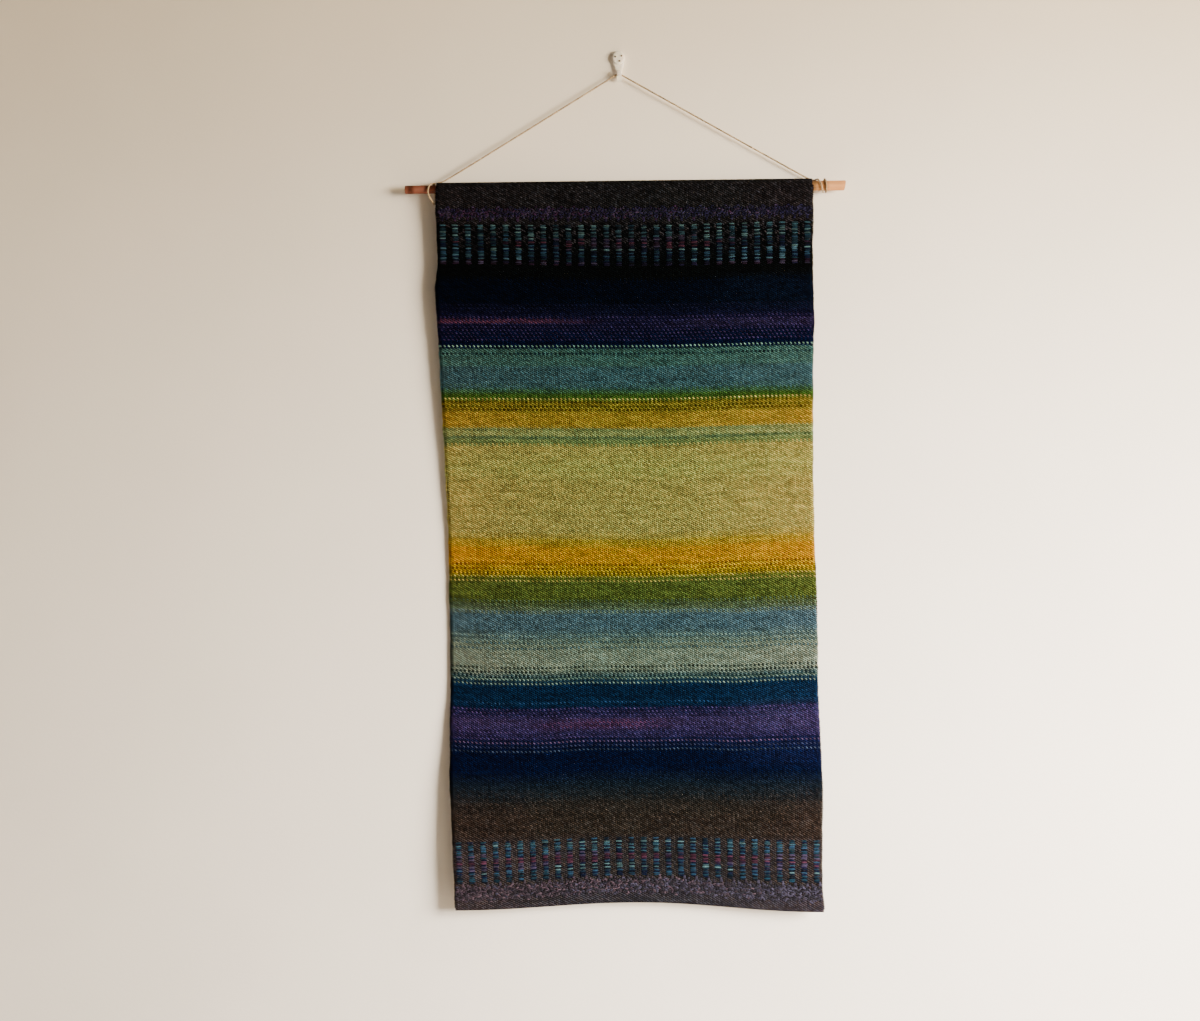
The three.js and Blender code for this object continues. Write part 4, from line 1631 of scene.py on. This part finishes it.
class BeadHeap:
    """Many small closed yarn beads in one mesh, each a copy of one low bead."""

    def __init__(self, around: int = 8, along: int = 6) -> None:
        """Start an empty heap.

        Args:
            around: Faces round a bead.
            along: Faces along it.
        """
        self.around, self.along = around, along
        self.places: list[Matrix] = []
        self.sizes: list[tuple[float, float, float]] = []
        self.blunts: list[float] = []
        self.colours: list[tuple[float, float, float, float]] = []
        self.uvs: list[tuple[float, float]] = []

    def add(
        self,
        place: Matrix,
        size: tuple[float, float, float],
        shade: str = "808080",
        tone: float = 1.0,
        uv: tuple[float, float] = (0.0, 0.0),
        blunt: float = 1.0,
    ) -> None:
        """Add one bead.

        Args:
            place: Where it lies, in metres.
            size: Its half sizes across, out and up, in millimetres.
            shade: Its colour.
            tone: Brightness that its colour is multiplied by.
            uv: Its place on the cloth's UV map.
            blunt: Under 1 makes its ends blunter.
        """
        self.places.append(place)
        self.sizes.append(size)
        self.blunts.append(blunt)
        self.colours.append((*(tone * part for part in linear(shade)[:3]), 1.0))
        self.uvs.append(uv)

    def finish(self, name: str, material: bpy.types.Material) -> bpy.types.Object:
        """Copy the bead to all its places and make the object.

        Args:
            name: Name of the piece.
            material: Its material.

        Returns:
            The piece.
        """
        seed, mesh, shared = bmesh.new(), bmesh.new(), bpy.data.meshes.new(f"{name}_seed")
        seed.loops.layers.uv.new(WEAVE_UV)
        seed.verts.layers.float_color.new(YARN)
        turned = Matrix.Rotation(math.pi / 2, 4, "Y")
        bmesh.ops.create_uvsphere(seed, u_segments=self.around, v_segments=self.along, radius=1.0, matrix=turned)
        seed.to_mesh(shared)
        seed.free()
        mesh.from_mesh(shared)
        bead = np.array([vert.co[:] for vert in mesh.verts])
        corners = len(shared.loops)
        count = len(self.places)
        while len(mesh.verts) < count * len(bead):
            mesh.to_mesh(shared)
            mesh.from_mesh(shared)
        mesh.verts.ensure_lookup_table()
        bmesh.ops.delete(mesh, geom=mesh.verts[count * len(bead) :], context="VERTS")
        bpy.data.meshes.remove(shared)
        piece = finish_piece(name, mesh, material)
        place = np.array([np.array(matrix) for matrix in self.places])
        shape = np.repeat(bead[None], count, axis=0)
        shape[:, :, 0] = np.sign(shape[:, :, 0]) * np.abs(shape[:, :, 0]) ** np.array(self.blunts)[:, None]
        shape *= np.array(self.sizes)[:, None] * MM
        shape = np.einsum("nij,nkj->nki", place[:, :3, :3], shape) + place[:, None, :3, 3]
        piece.data.vertices.foreach_set("co", shape.ravel())
        colours = np.repeat(np.array(self.colours), len(bead), axis=0)
        piece.data.attributes[YARN].data.foreach_set("color", colours.ravel())
        piece.data.uv_layers[WEAVE_UV].data.foreach_set("uv", np.repeat(np.array(self.uvs), corners, axis=0).ravel())
        piece.data.update()
        return piece


class Drift:
    """Slow changes of a variegated yarn from bar to bar and from row to row."""

    def __init__(self, rng: random.Random) -> None:
        """Draw the changes.

        Args:
            rng: Seeded random numbers.
        """
        self.waves = [(rng.uniform(0.25, 0.9), rng.uniform(0.5, 1.6), rng.uniform(0, 6.28)) for _ in range(5)]

    def value(self, bar: int, row: int) -> float:
        """Give the drift at one float, from about -1 to 1."""
        total = sum(math.sin(a * bar + b * row + c) for a, b, c in self.waves)
        return total / 2.6


class Run(NamedTuple):
    """A run of floats: the share of the bar at which it ends, and its light and dark yarn by part of the width."""

    until: float
    side: tuple[str, str]
    middle: tuple[str, str]


class BarBand(NamedTuple):
    """One band of bars.

    top and bottom are millimetres down the cloth, floats the number of floats in a bar, tone the brightness
    of its yarns and runs its usual order of yarns from the top.
    """

    name: str
    top: float
    bottom: float
    floats: int
    tone: float
    runs: tuple[Run, ...]

    def shade(self, rng: random.Random, drift: Drift, share: float, bar: int, row: int) -> str:
        """Choose the shade of one float.

        Args:
            rng: Seeded random numbers.
            drift: Slow changes of the yarn.
            share: Share of the width.
            bar: Number of the bar.
            row: Number of the float from the top.

        Returns:
            The shade.
        """
        level = min(0.99, max(0.0, (row + 0.5) / self.floats + 0.05 * drift.value(bar, row)))
        run = next(r for r in self.runs if level <= r.until)
        middle = 1.1 - abs(share - 0.5) * 2.2 + 0.3 * drift.value(bar, 3)
        light, dark = run.middle if rng.random() < middle else run.side
        return light if (row % 2 == 0) != (rng.random() < 0.16) else dark


JADE, PALE_JADE, TEAL, DEEP_TEAL = "406878", "689098", "1e4154", "0a2032"
STEEL, PALE_STEEL, NAVY, NIGHT = "2e5270", "56829a", "0a1b3c", "050b1c"
ROSE, PLUM, VIOLET, LILAC = "663850", "341e3a", "241e44", "544a6a"

BAR_BANDS: tuple[BarBand, ...] = (
    BarBand(
        "upper",
        56.0,
        105.4,
        24,
        0.155,
        (
            Run(0.05, (PALE_JADE, JADE), (PALE_JADE, JADE)),
            Run(0.14, (JADE, DEEP_TEAL), (TEAL, DEEP_TEAL)),
            Run(0.32, (PALE_JADE, TEAL), (JADE, DEEP_TEAL)),
            Run(0.40, (STEEL, TEAL), (LILAC, VIOLET)),
            Run(0.52, (TEAL, NAVY), (ROSE, PLUM)),
            Run(0.58, (STEEL, NIGHT), (LILAC, NAVY)),
            Run(0.64, (PALE_STEEL, NAVY), (PALE_JADE, NAVY)),
            Run(0.78, (STEEL, TEAL), (STEEL, NAVY)),
            Run(0.90, (PALE_STEEL, NAVY), (TEAL, NAVY)),
            Run(0.96, (LILAC, PLUM), (VIOLET, NIGHT)),
            Run(1.00, (LILAC, PLUM), (LILAC, VIOLET)),
        ),
    ),
    BarBand(
        "lower",
        802.4,
        851.5,
        24,
        0.22,
        (
            Run(0.06, (TEAL, NAVY), (STEEL, DEEP_TEAL)),
            Run(0.14, (JADE, TEAL), (PALE_JADE, DEEP_TEAL)),
            Run(0.36, (STEEL, TEAL), (JADE, NAVY)),
            Run(0.42, (LILAC, NAVY), (LILAC, NAVY)),
            Run(0.58, (ROSE, PLUM), (ROSE, PLUM)),
            Run(0.68, (LILAC, VIOLET), (STEEL, NAVY)),
            Run(0.80, (STEEL, NAVY), (PALE_JADE, DEEP_TEAL)),
            Run(1.00, (TEAL, DEEP_TEAL), (STEEL, NAVY)),
        ),
    ),
)


class Stroke(NamedTuple):
    """One float of the braid: warp ends aside of the bar, millimetres down, length in ends and tilt in degrees."""

    aside: float
    down: float
    ends: float
    tilt: float


BRAID_CHART: tuple[Stroke, ...] = (
    Stroke(3.0, 1.0, 1.3, 0), Stroke(2.2, 2.9, 1.1, 60), Stroke(3.8, 2.9, 1.1, -60), Stroke(1.2, 3.6, 1.0, 40),
    Stroke(4.8, 3.6, 1.0, -40), Stroke(0.0, 4.4, 1.2, 0), Stroke(3.0, 4.9, 1.6, 0), Stroke(1.6, 6.0, 1.5, 30),
    Stroke(4.4, 6.0, 1.5, -30), Stroke(0.0, 6.6, 1.4, 0), Stroke(3.0, 7.4, 1.9, 0), Stroke(0.9, 8.4, 1.7, -30),
    Stroke(-0.9, 8.4, 1.7, 30), Stroke(2.3, 9.6, 1.7, 28), Stroke(3.7, 9.6, 1.7, -28), Stroke(0.0, 10.3, 1.7, 0),
    Stroke(2.1, 11.6, 1.1, -35), Stroke(3.9, 11.6, 1.1, 35), Stroke(3.0, 13.0, 1.3, 0), Stroke(2.2, 14.8, 1.0, 50),
    Stroke(-0.8, 12.2, 1.2, 55), Stroke(0.8, 12.2, 1.2, -55), Stroke(0.0, 13.6, 1.5, 0), Stroke(0.0, 15.4, 1.3, 0),
    Stroke(0.0, 17.2, 1.2, 0),
)


class BraidBand(NamedTuple):
    """One braided band.

    edge is where its chart begins, in millimetres down the cloth, way is 1 down or -1 up the cloth, tone the
    brightness of its yarns, left_shades and right_shades are their shades, and second is how many millimetres
    on a second course of floats follows, or 0 for none.
    """

    name: str
    edge: float
    way: int
    tone: float
    left_shades: tuple[str, ...]
    right_shades: tuple[str, ...]
    second: float = 0.0

    def strokes(self) -> tuple[Stroke, ...]:
        """Give the chart's floats, and those of its second course if it has one."""
        more = (s._replace(aside=s.aside + 1.5, down=s.down + self.second) for s in BRAID_CHART if s.down > 6.0)
        return BRAID_CHART + (tuple(more) if self.second else ())

    def place(self, down: float) -> float:
        """Give the distance down the cloth of a place on the chart."""
        return self.edge + self.way * down

    def shade(self, rng: random.Random, share: float) -> str:
        """Choose the shade of one float.

        Args:
            rng: Seeded random numbers.
            share: Share of the width.

        Returns:
            The shade.
        """
        return rng.choice(self.right_shades if rng.random() < share else self.left_shades)


BRAID_BANDS: tuple[BraidBand, ...] = (
    BraidBand(
        "upper",
        34.0,
        1,
        0.19,
        ("3c2e58", "2e2650", "4c2e54", "1e1a34", "5c4a70"),
        ("302c56", "262448", "423e66", "1c1a38"),
    ),
    BraidBand(
        "lower",
        875.5,
        -1,
        0.22,
        ("6a5666", "4c4250", "7a6472", "3a343e", "5c505c"),
        ("565066", "464450", "66607a", "36343e"),
        7.0,
    ),
)


# Rod


@dataclass
class Rod:
    """The round wooden rod.

    Attributes:
        sizes: Its sizes.
        sides: Faces round it.
        rings: Rings along it.
    """

    sizes: RodSizes = ROD
    sides: int = 40
    rings: int = 90

    def build(self, wood: bpy.types.Material) -> bpy.types.Object:
        """Make the rod, a little uneven as turned wood is.

        Args:
            wood: Its material.

        Returns:
            The piece.
        """
        size = self.sizes
        cut = size.chamfer
        stations = [(size.left, -cut), (size.left + 0.3 * cut, -0.4 * cut), (size.left + cut, 0.0)]
        inner = np.linspace(size.left + cut, size.right - cut, self.rings)[1:]
        stations += [(float(x), 0.0) for x in inner]
        stations += [(size.right - 0.3 * cut, -0.4 * cut), (size.right, -cut)]
        rings = []
        for x, less in stations:
            ring = []
            for k in range(self.sides):
                angle = 2 * math.pi * k / self.sides
                uneven = 0.06 * math.sin(3 * angle + x / 21) + 0.05 * math.sin(x / 13 + 2 * angle)
                radius = size.radius(x) + less + uneven - 0.05
                y, z = radius * math.cos(angle), radius * math.sin(angle)
                lean = size.oblique_cut * z if x > size.right - 2 else 0.0
                ring.append(Vector((x + lean, -size.from_wall + y, size.height(x) + z)) * MM)
            rings.append(ring)
        piece = finish_piece("round_rod", sweep(rings), wood)
        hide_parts("rod")
        flat_ends(piece)
        return piece


def flat_ends(piece: bpy.types.Object) -> None:
    """Shade the many-sided end faces of a piece flat."""
    for face in piece.data.polygons:
        if len(face.vertices) > 4:
            face.use_smooth = False


# Cord


class Way(NamedTuple):
    """One point of the cord's route, in millimetres."""

    x: float
    y: float
    z: float


CORD_ROUTE: tuple[Way, ...] = (
    Way(-223.9, -6.1, -146.4), Way(-223.6, -5.1, -148.6), Way(-223.1, -4.6, -152.4), Way(-222.7, -4.6, -157.2),
    Way(-222.5, -5.0, -162.0), Way(-222.6, -6.4, -166.4), Way(-223.0, -9.2, -169.2), Way(-223.8, -12.8, -169.6),
    Way(-225.3, -15.9, -167.3), Way(-227.8, -18.1, -163.4), Way(-229.7, -19.2, -158.8), Way(-230.2, -19.3, -154.3),
    Way(-229.5, -18.7, -150.2), Way(-227.8, -16.6, -146.8), Way(-225.8, -12.6, -145.0), Way(-224.2, -9.0, -144.6),
    Way(-221.8, -7.0, -143.9), Way(-218.0, -6.8, -143.0), Way(-212.6, -6.8, -141.2), Way(-205.0, -6.8, -136.9),
    Way(-113.3, -6.5, -80.4), Way(-13.4, -6.3, -18.2), Way(-5.0, -6.2, -12.9), Way(-1.8, -6.2, -11.0),
    Way(-0.6, -6.2, -10.4), Way(0.7, -6.2, -10.2), Way(2.0, -6.2, -10.4), Way(3.3, -6.2, -10.9),
    Way(7.0, -6.1, -12.9), Way(14.0, -6.1, -16.8), Way(118.0, -5.7, -74.6), Way(222.0, -4.9, -132.0),
    Way(230.0, -4.3, -136.1), Way(235.2, -4.3, -138.3), Way(238.2, -6.0, -139.5),
)

CORD_TURNS: tuple[tuple[float, float], ...] = (
    (75, 240.4), (105, 241.9), (180, 245.6), (270, 249.4), (360, 250.3), (450, 250.9), (540, 252.0), (630, 252.9),
    (675, 253.4),
)


@dataclass
class Cord:
    """The twisted cord with its loop and knot at the left and its turns round the rod at the right.

    Attributes:
        radius: Its radius in millimetres.
        turn_reach: Distance of its middle from the rod's surface where it goes round it.
        turn_step: Degrees from one point to the next there.
        lay: Millimetres in which its two plies go once round.
        knot: Middle of the knot.
    """

    radius: float = 1.1
    turn_reach: float = 1.8
    turn_step: float = 30.0
    lay: float = 6.0
    knot: tuple[float, float, float] = (-224.0, -8.0, -144.9)

    def route(self) -> list[Vector]:
        """List the points of the route in metres, as in the CAD model.

        Returns:
            The points.
        """
        points = [Vector(way) for way in CORD_ROUTE]
        angles = [row[0] for row in CORD_TURNS]
        angle = angles[0]
        while angle <= angles[-1]:
            x = float(np.interp(angle, angles, [row[1] for row in CORD_TURNS]))
            turn, radius = math.radians(angle), ROD.radius(x) + self.turn_reach
            y, z = radius * math.cos(turn), radius * math.sin(turn)
            points.append(Vector((x, y - ROD.from_wall, z + ROD.height(x))))
            angle += self.turn_step
        return [point * MM for point in points]

    @staticmethod
    def smooth(points: Sequence[Vector], step: float) -> list[Vector]:
        """Run a smooth line through points, in steps of about one length.

        Args:
            points: The points.
            step: Length of a step in metres.

        Returns:
            The points of the line.
        """
        ends = [points[0] * 2 - points[1], *points, points[-1] * 2 - points[-2]]
        line = [points[0].copy()]
        for a, b, c, d in zip(ends, ends[1:], ends[2:], ends[3:]):
            knots = [0.0]
            for p, q in ((a, b), (b, c), (c, d)):
                knots.append(knots[-1] + max((q - p).length, 1e-6) ** 0.5)
            t0, t1, t2, t3 = knots
            count = max(1, round((c - b).length / step))
            for k in range(1, count + 1):
                t = t1 + (t2 - t1) * k / count
                a1 = a.lerp(b, (t - t0) / (t1 - t0))
                a2 = b.lerp(c, (t - t1) / (t2 - t1))
                a3 = c.lerp(d, (t - t2) / (t3 - t2))
                b1 = a1.lerp(a2, (t - t0) / (t2 - t0))
                b2 = a2.lerp(a3, (t - t1) / (t3 - t1))
                line.append(b1.lerp(b2, (t - t1) / (t2 - t1)))
        return line

    def twist(self, line: Sequence[Vector], radius: float, closed: bool = False) -> bmesh.types.BMesh:
        """Lay two plies round a line as one closed tube.

        Args:
            line: Points of the middle line in metres.
            radius: Outer radius in metres.
            closed: Whether the line closes on itself.

        Returns:
            The tube.
        """
        rings, travelled = [], 0.0
        side = Vector((0.3, 1.0, 0.2))
        count = len(line)
        for i, point in enumerate(line):
            before = line[i - 1] if i or closed else point
            after = line[(i + 1) % count] if i < count - 1 or closed else point
            forward = (after - before).normalized()
            side = (side - forward * side.dot(forward)).normalized()
            other = forward.cross(side)
            travelled += (point - line[i - 1]).length if i else 0.0
            turn = 2 * math.pi * travelled / (self.lay * MM)
            ring = []
            for k in range(12):
                angle = 2 * math.pi * k / 12
                lobe = radius * (0.72 + 0.28 * abs(math.cos(angle)) ** 0.8)
                ring.append(point + (side * math.cos(angle + turn) + other * math.sin(angle + turn)) * lobe)
            rings.append(ring)
        return sweep(rings, closed)

    def build(self, twine: bpy.types.Material) -> list[bpy.types.Object]:
        """Args:
            twine: Its material.

        Returns:
            The pieces.
        """
        line = self.smooth(self.route(), 0.8 * MM)
        cord = finish_piece("twisted_cord", self.twist(line, self.radius * MM), twine)
        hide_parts("hanging_cord")
        knot = self._knot(twine)
        return [cord, knot]

    def _knot(self, twine: bpy.types.Material) -> bpy.types.Object:
        """Make the knot as a small closed turn of the same twine.

        Args:
            twine: Its material.

        Returns:
            The piece.
        """
        middle, loop = Vector(self.knot) * MM, []
        for k in range(64):
            t = 2 * math.pi * k / 64
            x = math.sin(t) + 2 * math.sin(2 * t)
            z = math.cos(t) - 2 * math.cos(2 * t)
            y = -math.sin(3 * t)
            loop.append(middle + Vector((x * 0.52, y * 0.75, z * 0.58)) * MM)
        return finish_piece("cord_knot", self.twist(loop, 0.85 * MM, closed=True), twine)


# Hook and pins


class Rib(NamedTuple):
    """One cross-section of the hook's neck and prong, in millimetres.

    y and below are its middle, turn the way it runs in degrees from straight down towards -Y, thick its
    thickness and half its half width.
    """

    y: float
    below: float
    turn: float
    thick: float
    half: float


PIN_PROFILE: tuple[tuple[float, float], ...] = (
    (0.0, 0.02), (0.62, 0.02), (0.7, 0.3), (0.7, 5.6), (1.0, 5.63),
    (1.1, 5.75), (1.08, 6.1), (0.92, 6.27), (0.6, 6.33), (0.0, 6.33),
)  # radius and distance from the wall in millimetres


@dataclass
class Hook:
    """The small wall hook with its oval head, tapered neck and prong.

    Attributes:
        head: x and z of the middle of the head in millimetres.
        lean: Lean in degrees, foot to the right.
        head_half: Half width and half height of the head.
        rim: Profile of the head: share of its radius and distance from the wall.
        ribs: The cross-sections of neck and prong.
        pins: Name, x and z of each pin from the middle of the head.
    """

    head: tuple[float, float] = (0.6, 10.4)
    lean: float = -2.1
    head_half: tuple[float, float] = (7.6, 8.5)
    rim: tuple[tuple[float, float], ...] = (
        (0.0, 0.0), (0.97, 0.0), (1.0, 0.3), (1.0, 3.2), (0.985, 4.0), (0.94, 4.6), (0.86, 5.0), (0.74, 5.2),
        (0.4, 5.3), (0.0, 5.3),
    )
    ribs: tuple[Rib, ...] = (
        Rib(-2.0, 2.0, 0, 3.9, 6.6), Rib(-2.0, 6.0, 0, 3.9, 6.4), Rib(-2.0, 9.0, 0, 3.9, 6.05),
        Rib(-2.0, 14.0, 0, 3.9, 4.35), Rib(-2.0, 19.0, 0, 3.9, 3.2), Rib(-2.3, 22.6, 10, 4.6, 3.05),
        Rib(-3.5, 25.0, 50, 6.6, 3.0), Rib(-5.8, 25.8, 90, 8.0, 3.0), Rib(-8.2, 24.9, 130, 6.4, 3.0),
        Rib(-9.7, 22.4, 172, 3.4, 3.0), Rib(-9.9, 19.5, 180, 3.0, 3.0), Rib(-9.9, 17.6, 180, 2.9, 2.85),
        Rib(-9.9, 16.7, 180, 1.9, 2.0),
    )
    pins: tuple[tuple[str, float, float], ...] = (
        ("hook_pin_left", -3.7, 0.9), ("hook_pin_right", 3.9, 1.7), ("hook_pin_low", 1.2, -4.4),
    )

    def place(self) -> Matrix:
        """Matrix from the hook's own frame in millimetres to metres in the row frame.

        Returns:
            The matrix.
        """
        lean = Matrix.Rotation(math.radians(self.lean), 4, "Y")
        return Matrix.Scale(MM, 4) @ Matrix.Translation((self.head[0], 0, self.head[1])) @ lean

    def build(self, plastic: bpy.types.Material, steel: bpy.types.Material) -> list[bpy.types.Object]:
        """Make the hook and its pins.

        Args:
            plastic: Material of the hook.
            steel: Material of the pins.

        Returns:
            The pieces.
        """
        head = self._head(plastic)
        neck = self._neck(plastic)
        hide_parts("hook")
        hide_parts("hook")
        return [head, neck, *(self._pin(name, x, z, steel) for name, x, z in self.pins)]

    def _spun(self, profile: Sequence[tuple[float, float]], steps: int) -> bmesh.types.BMesh:
        """Spin a profile of radius and distance from the wall round an axis square to the wall.

        Args:
            profile: The profile in millimetres.
            steps: Faces round it.

        Returns:
            The spun shape.
        """
        mesh = bmesh.new()
        verts = [mesh.verts.new((radius, -out, 0.0)) for radius, out in profile]
        edges = [mesh.edges.new(pair) for pair in zip(verts, verts[1:])]
        bmesh.ops.spin(
            mesh,
            geom=verts + edges,
            cent=(0, 0, 0),
            axis=(0, 1, 0),
            dvec=(0, 0, 0),
            angle=2 * math.pi,
            steps=steps,
            use_merge=True,
        )
        bmesh.ops.remove_doubles(mesh, verts=mesh.verts[:], dist=1e-4)
        bmesh.ops.recalc_face_normals(mesh, faces=mesh.faces[:])
        return mesh

    def _head(self, plastic: bpy.types.Material) -> bpy.types.Object:
        """Make the oval head.

        Args:
            plastic: Its material.

        Returns:
            The piece.
        """
        mesh = self._spun(self.rim, 48)
        wide, tall = self.head_half
        bmesh.ops.scale(mesh, vec=(wide, 1.0, tall), verts=mesh.verts[:])
        bmesh.ops.transform(mesh, matrix=self.place(), verts=mesh.verts[:])
        return finish_piece("hook_head", mesh, plastic)

    def _neck(self, plastic: bpy.types.Material) -> bpy.types.Object:
        """Make the neck and prong through their cross-sections.

        Args:
            plastic: Their material.

        Returns:
            The piece.
        """
        rings = []
        for rib in self.ribs:
            turn = math.radians(rib.turn)
            out = Vector((0.0, math.cos(turn), math.sin(turn)))
            soft = min(0.8, rib.thick * 0.28)
            half, deep = rib.half, rib.thick / 2
            corners = [(half, deep - soft), (half - soft, deep), (soft - half, deep), (-half, deep - soft)]
            ring = [*corners, *((-a, -b) for a, b in corners)]
            middle = Vector((0.0, rib.y, -rib.below))
            rings.append([middle + Vector((a, 0.0, 0.0)) + out * b for a, b in ring])
        mesh = sweep(rings)
        bmesh.ops.transform(mesh, matrix=self.place(), verts=mesh.verts[:])
        piece = finish_piece("hook_neck", mesh, plastic)
        rounding = piece.modifiers.new("rounding", "SUBSURF")
        rounding.levels = rounding.render_levels = 2
        return piece

    def _pin(self, name: str, x: float, z: float, steel: bpy.types.Material) -> bpy.types.Object:
        """Make one pin: a slim shaft and a low round head.

        Args:
            name: Name of its node.
            x: Its place across.
            z: Its place up.
            steel: Its material.

        Returns:
            The piece.
        """
        mesh = self._spun(PIN_PROFILE, 24)
        bmesh.ops.translate(mesh, vec=(x, 0.0, z), verts=mesh.verts[:])
        bmesh.ops.transform(mesh, matrix=self.place(), verts=mesh.verts[:])
        piece = finish_piece(name.replace("hook_pin", "steel_pin"), mesh, steel)
        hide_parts(name)
        return piece


# Stage


@dataclass
class Stage:
    """The plain wall, the plain floor and the soft light.

    Attributes:
        floor_height: Height of the floor in metres.
        lamps: The lights.
    """

    floor_height: float = -1.75
    lamps: tuple[SoftLamp, ...] = (
        SoftLamp("window_low", (1.8, -1.25, -0.5), (0.6, 0.0, -1.2), (1.1, 1.1), 60.0, (0.95, 0.96, 1.0), 80.0),
        SoftLamp("window_high", (2.45, -1.65, -0.15), (0.9, 0.0, -1.3), (1.5, 1.5), 185.0, (1.0, 0.78, 0.42)),
        SoftLamp("back", (1.2, 2.6, 0.6), (0.0, 0.0, -0.5), (2.4, 2.4), 80.0),
    )

    def build(self) -> None:
        """Make the wall, the floor, the lights and the surroundings."""
        wall = self._plane("wall", (0.0, 0.0008, 0.0), 6.0, PaleSurface("pale_wall", "e6dccf", True).build())
        wall.rotation_euler = (math.pi / 2, 0, 0)
        wall.visible_shadow = False
        self._plane("floor", (0.0, 0.0, self.floor_height), 8.0, PaleSurface("pale_floor", "ded9d2").build())
        for lamp in self.lamps:
            lamp.build()
        world = bpy.data.worlds.new("soft_surroundings")
        world.use_nodes = True
        sky = next(n for n in world.node_tree.nodes if n.type == "BACKGROUND")
        sky.inputs["Color"].default_value = (1.0, 0.94, 0.9, 1.0)
        sky.inputs["Strength"].default_value = 0.095
        bpy.context.scene.world = world

    def _plane(
        self, name: str, place: tuple[float, float, float], size: float, material: bpy.types.Material
    ) -> bpy.types.Object:
        """Make one large plane of the stage.

        Args:
            name: Its name.
            place: Its middle in metres.
            size: Its side in metres.
            material: Its material.

        Returns:
            The plane.
        """
        mesh = bmesh.new()
        bmesh.ops.create_grid(mesh, x_segments=1, y_segments=1, size=size / 2)
        data = bpy.data.meshes.new(name)
        mesh.to_mesh(data)
        mesh.free()
        data.materials.append(material)
        plane = bpy.data.objects.new(name, data)
        plane.location = place
        bpy.context.scene.collection.objects.link(plane)
        return plane


def main() -> None:
    """Build the camera, the cord, the cloth, the rod, the hook and the stage."""
    logging.basicConfig(level=logging.INFO, format="%(name)s: %(message)s")
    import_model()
    PhotoCamera().build()
    effects = Effects()
    Cord().build(TwistedTwine().build(effects))
    Cloth().build(WoolCloth().build(effects), RaisedYarn().build(effects))
    Rod().build(OiledWood().build())
    Hook().build(MouldedPlastic().build(), PlainSteel().build())
    Stage().build()


if __name__ == "__main__":
    main()
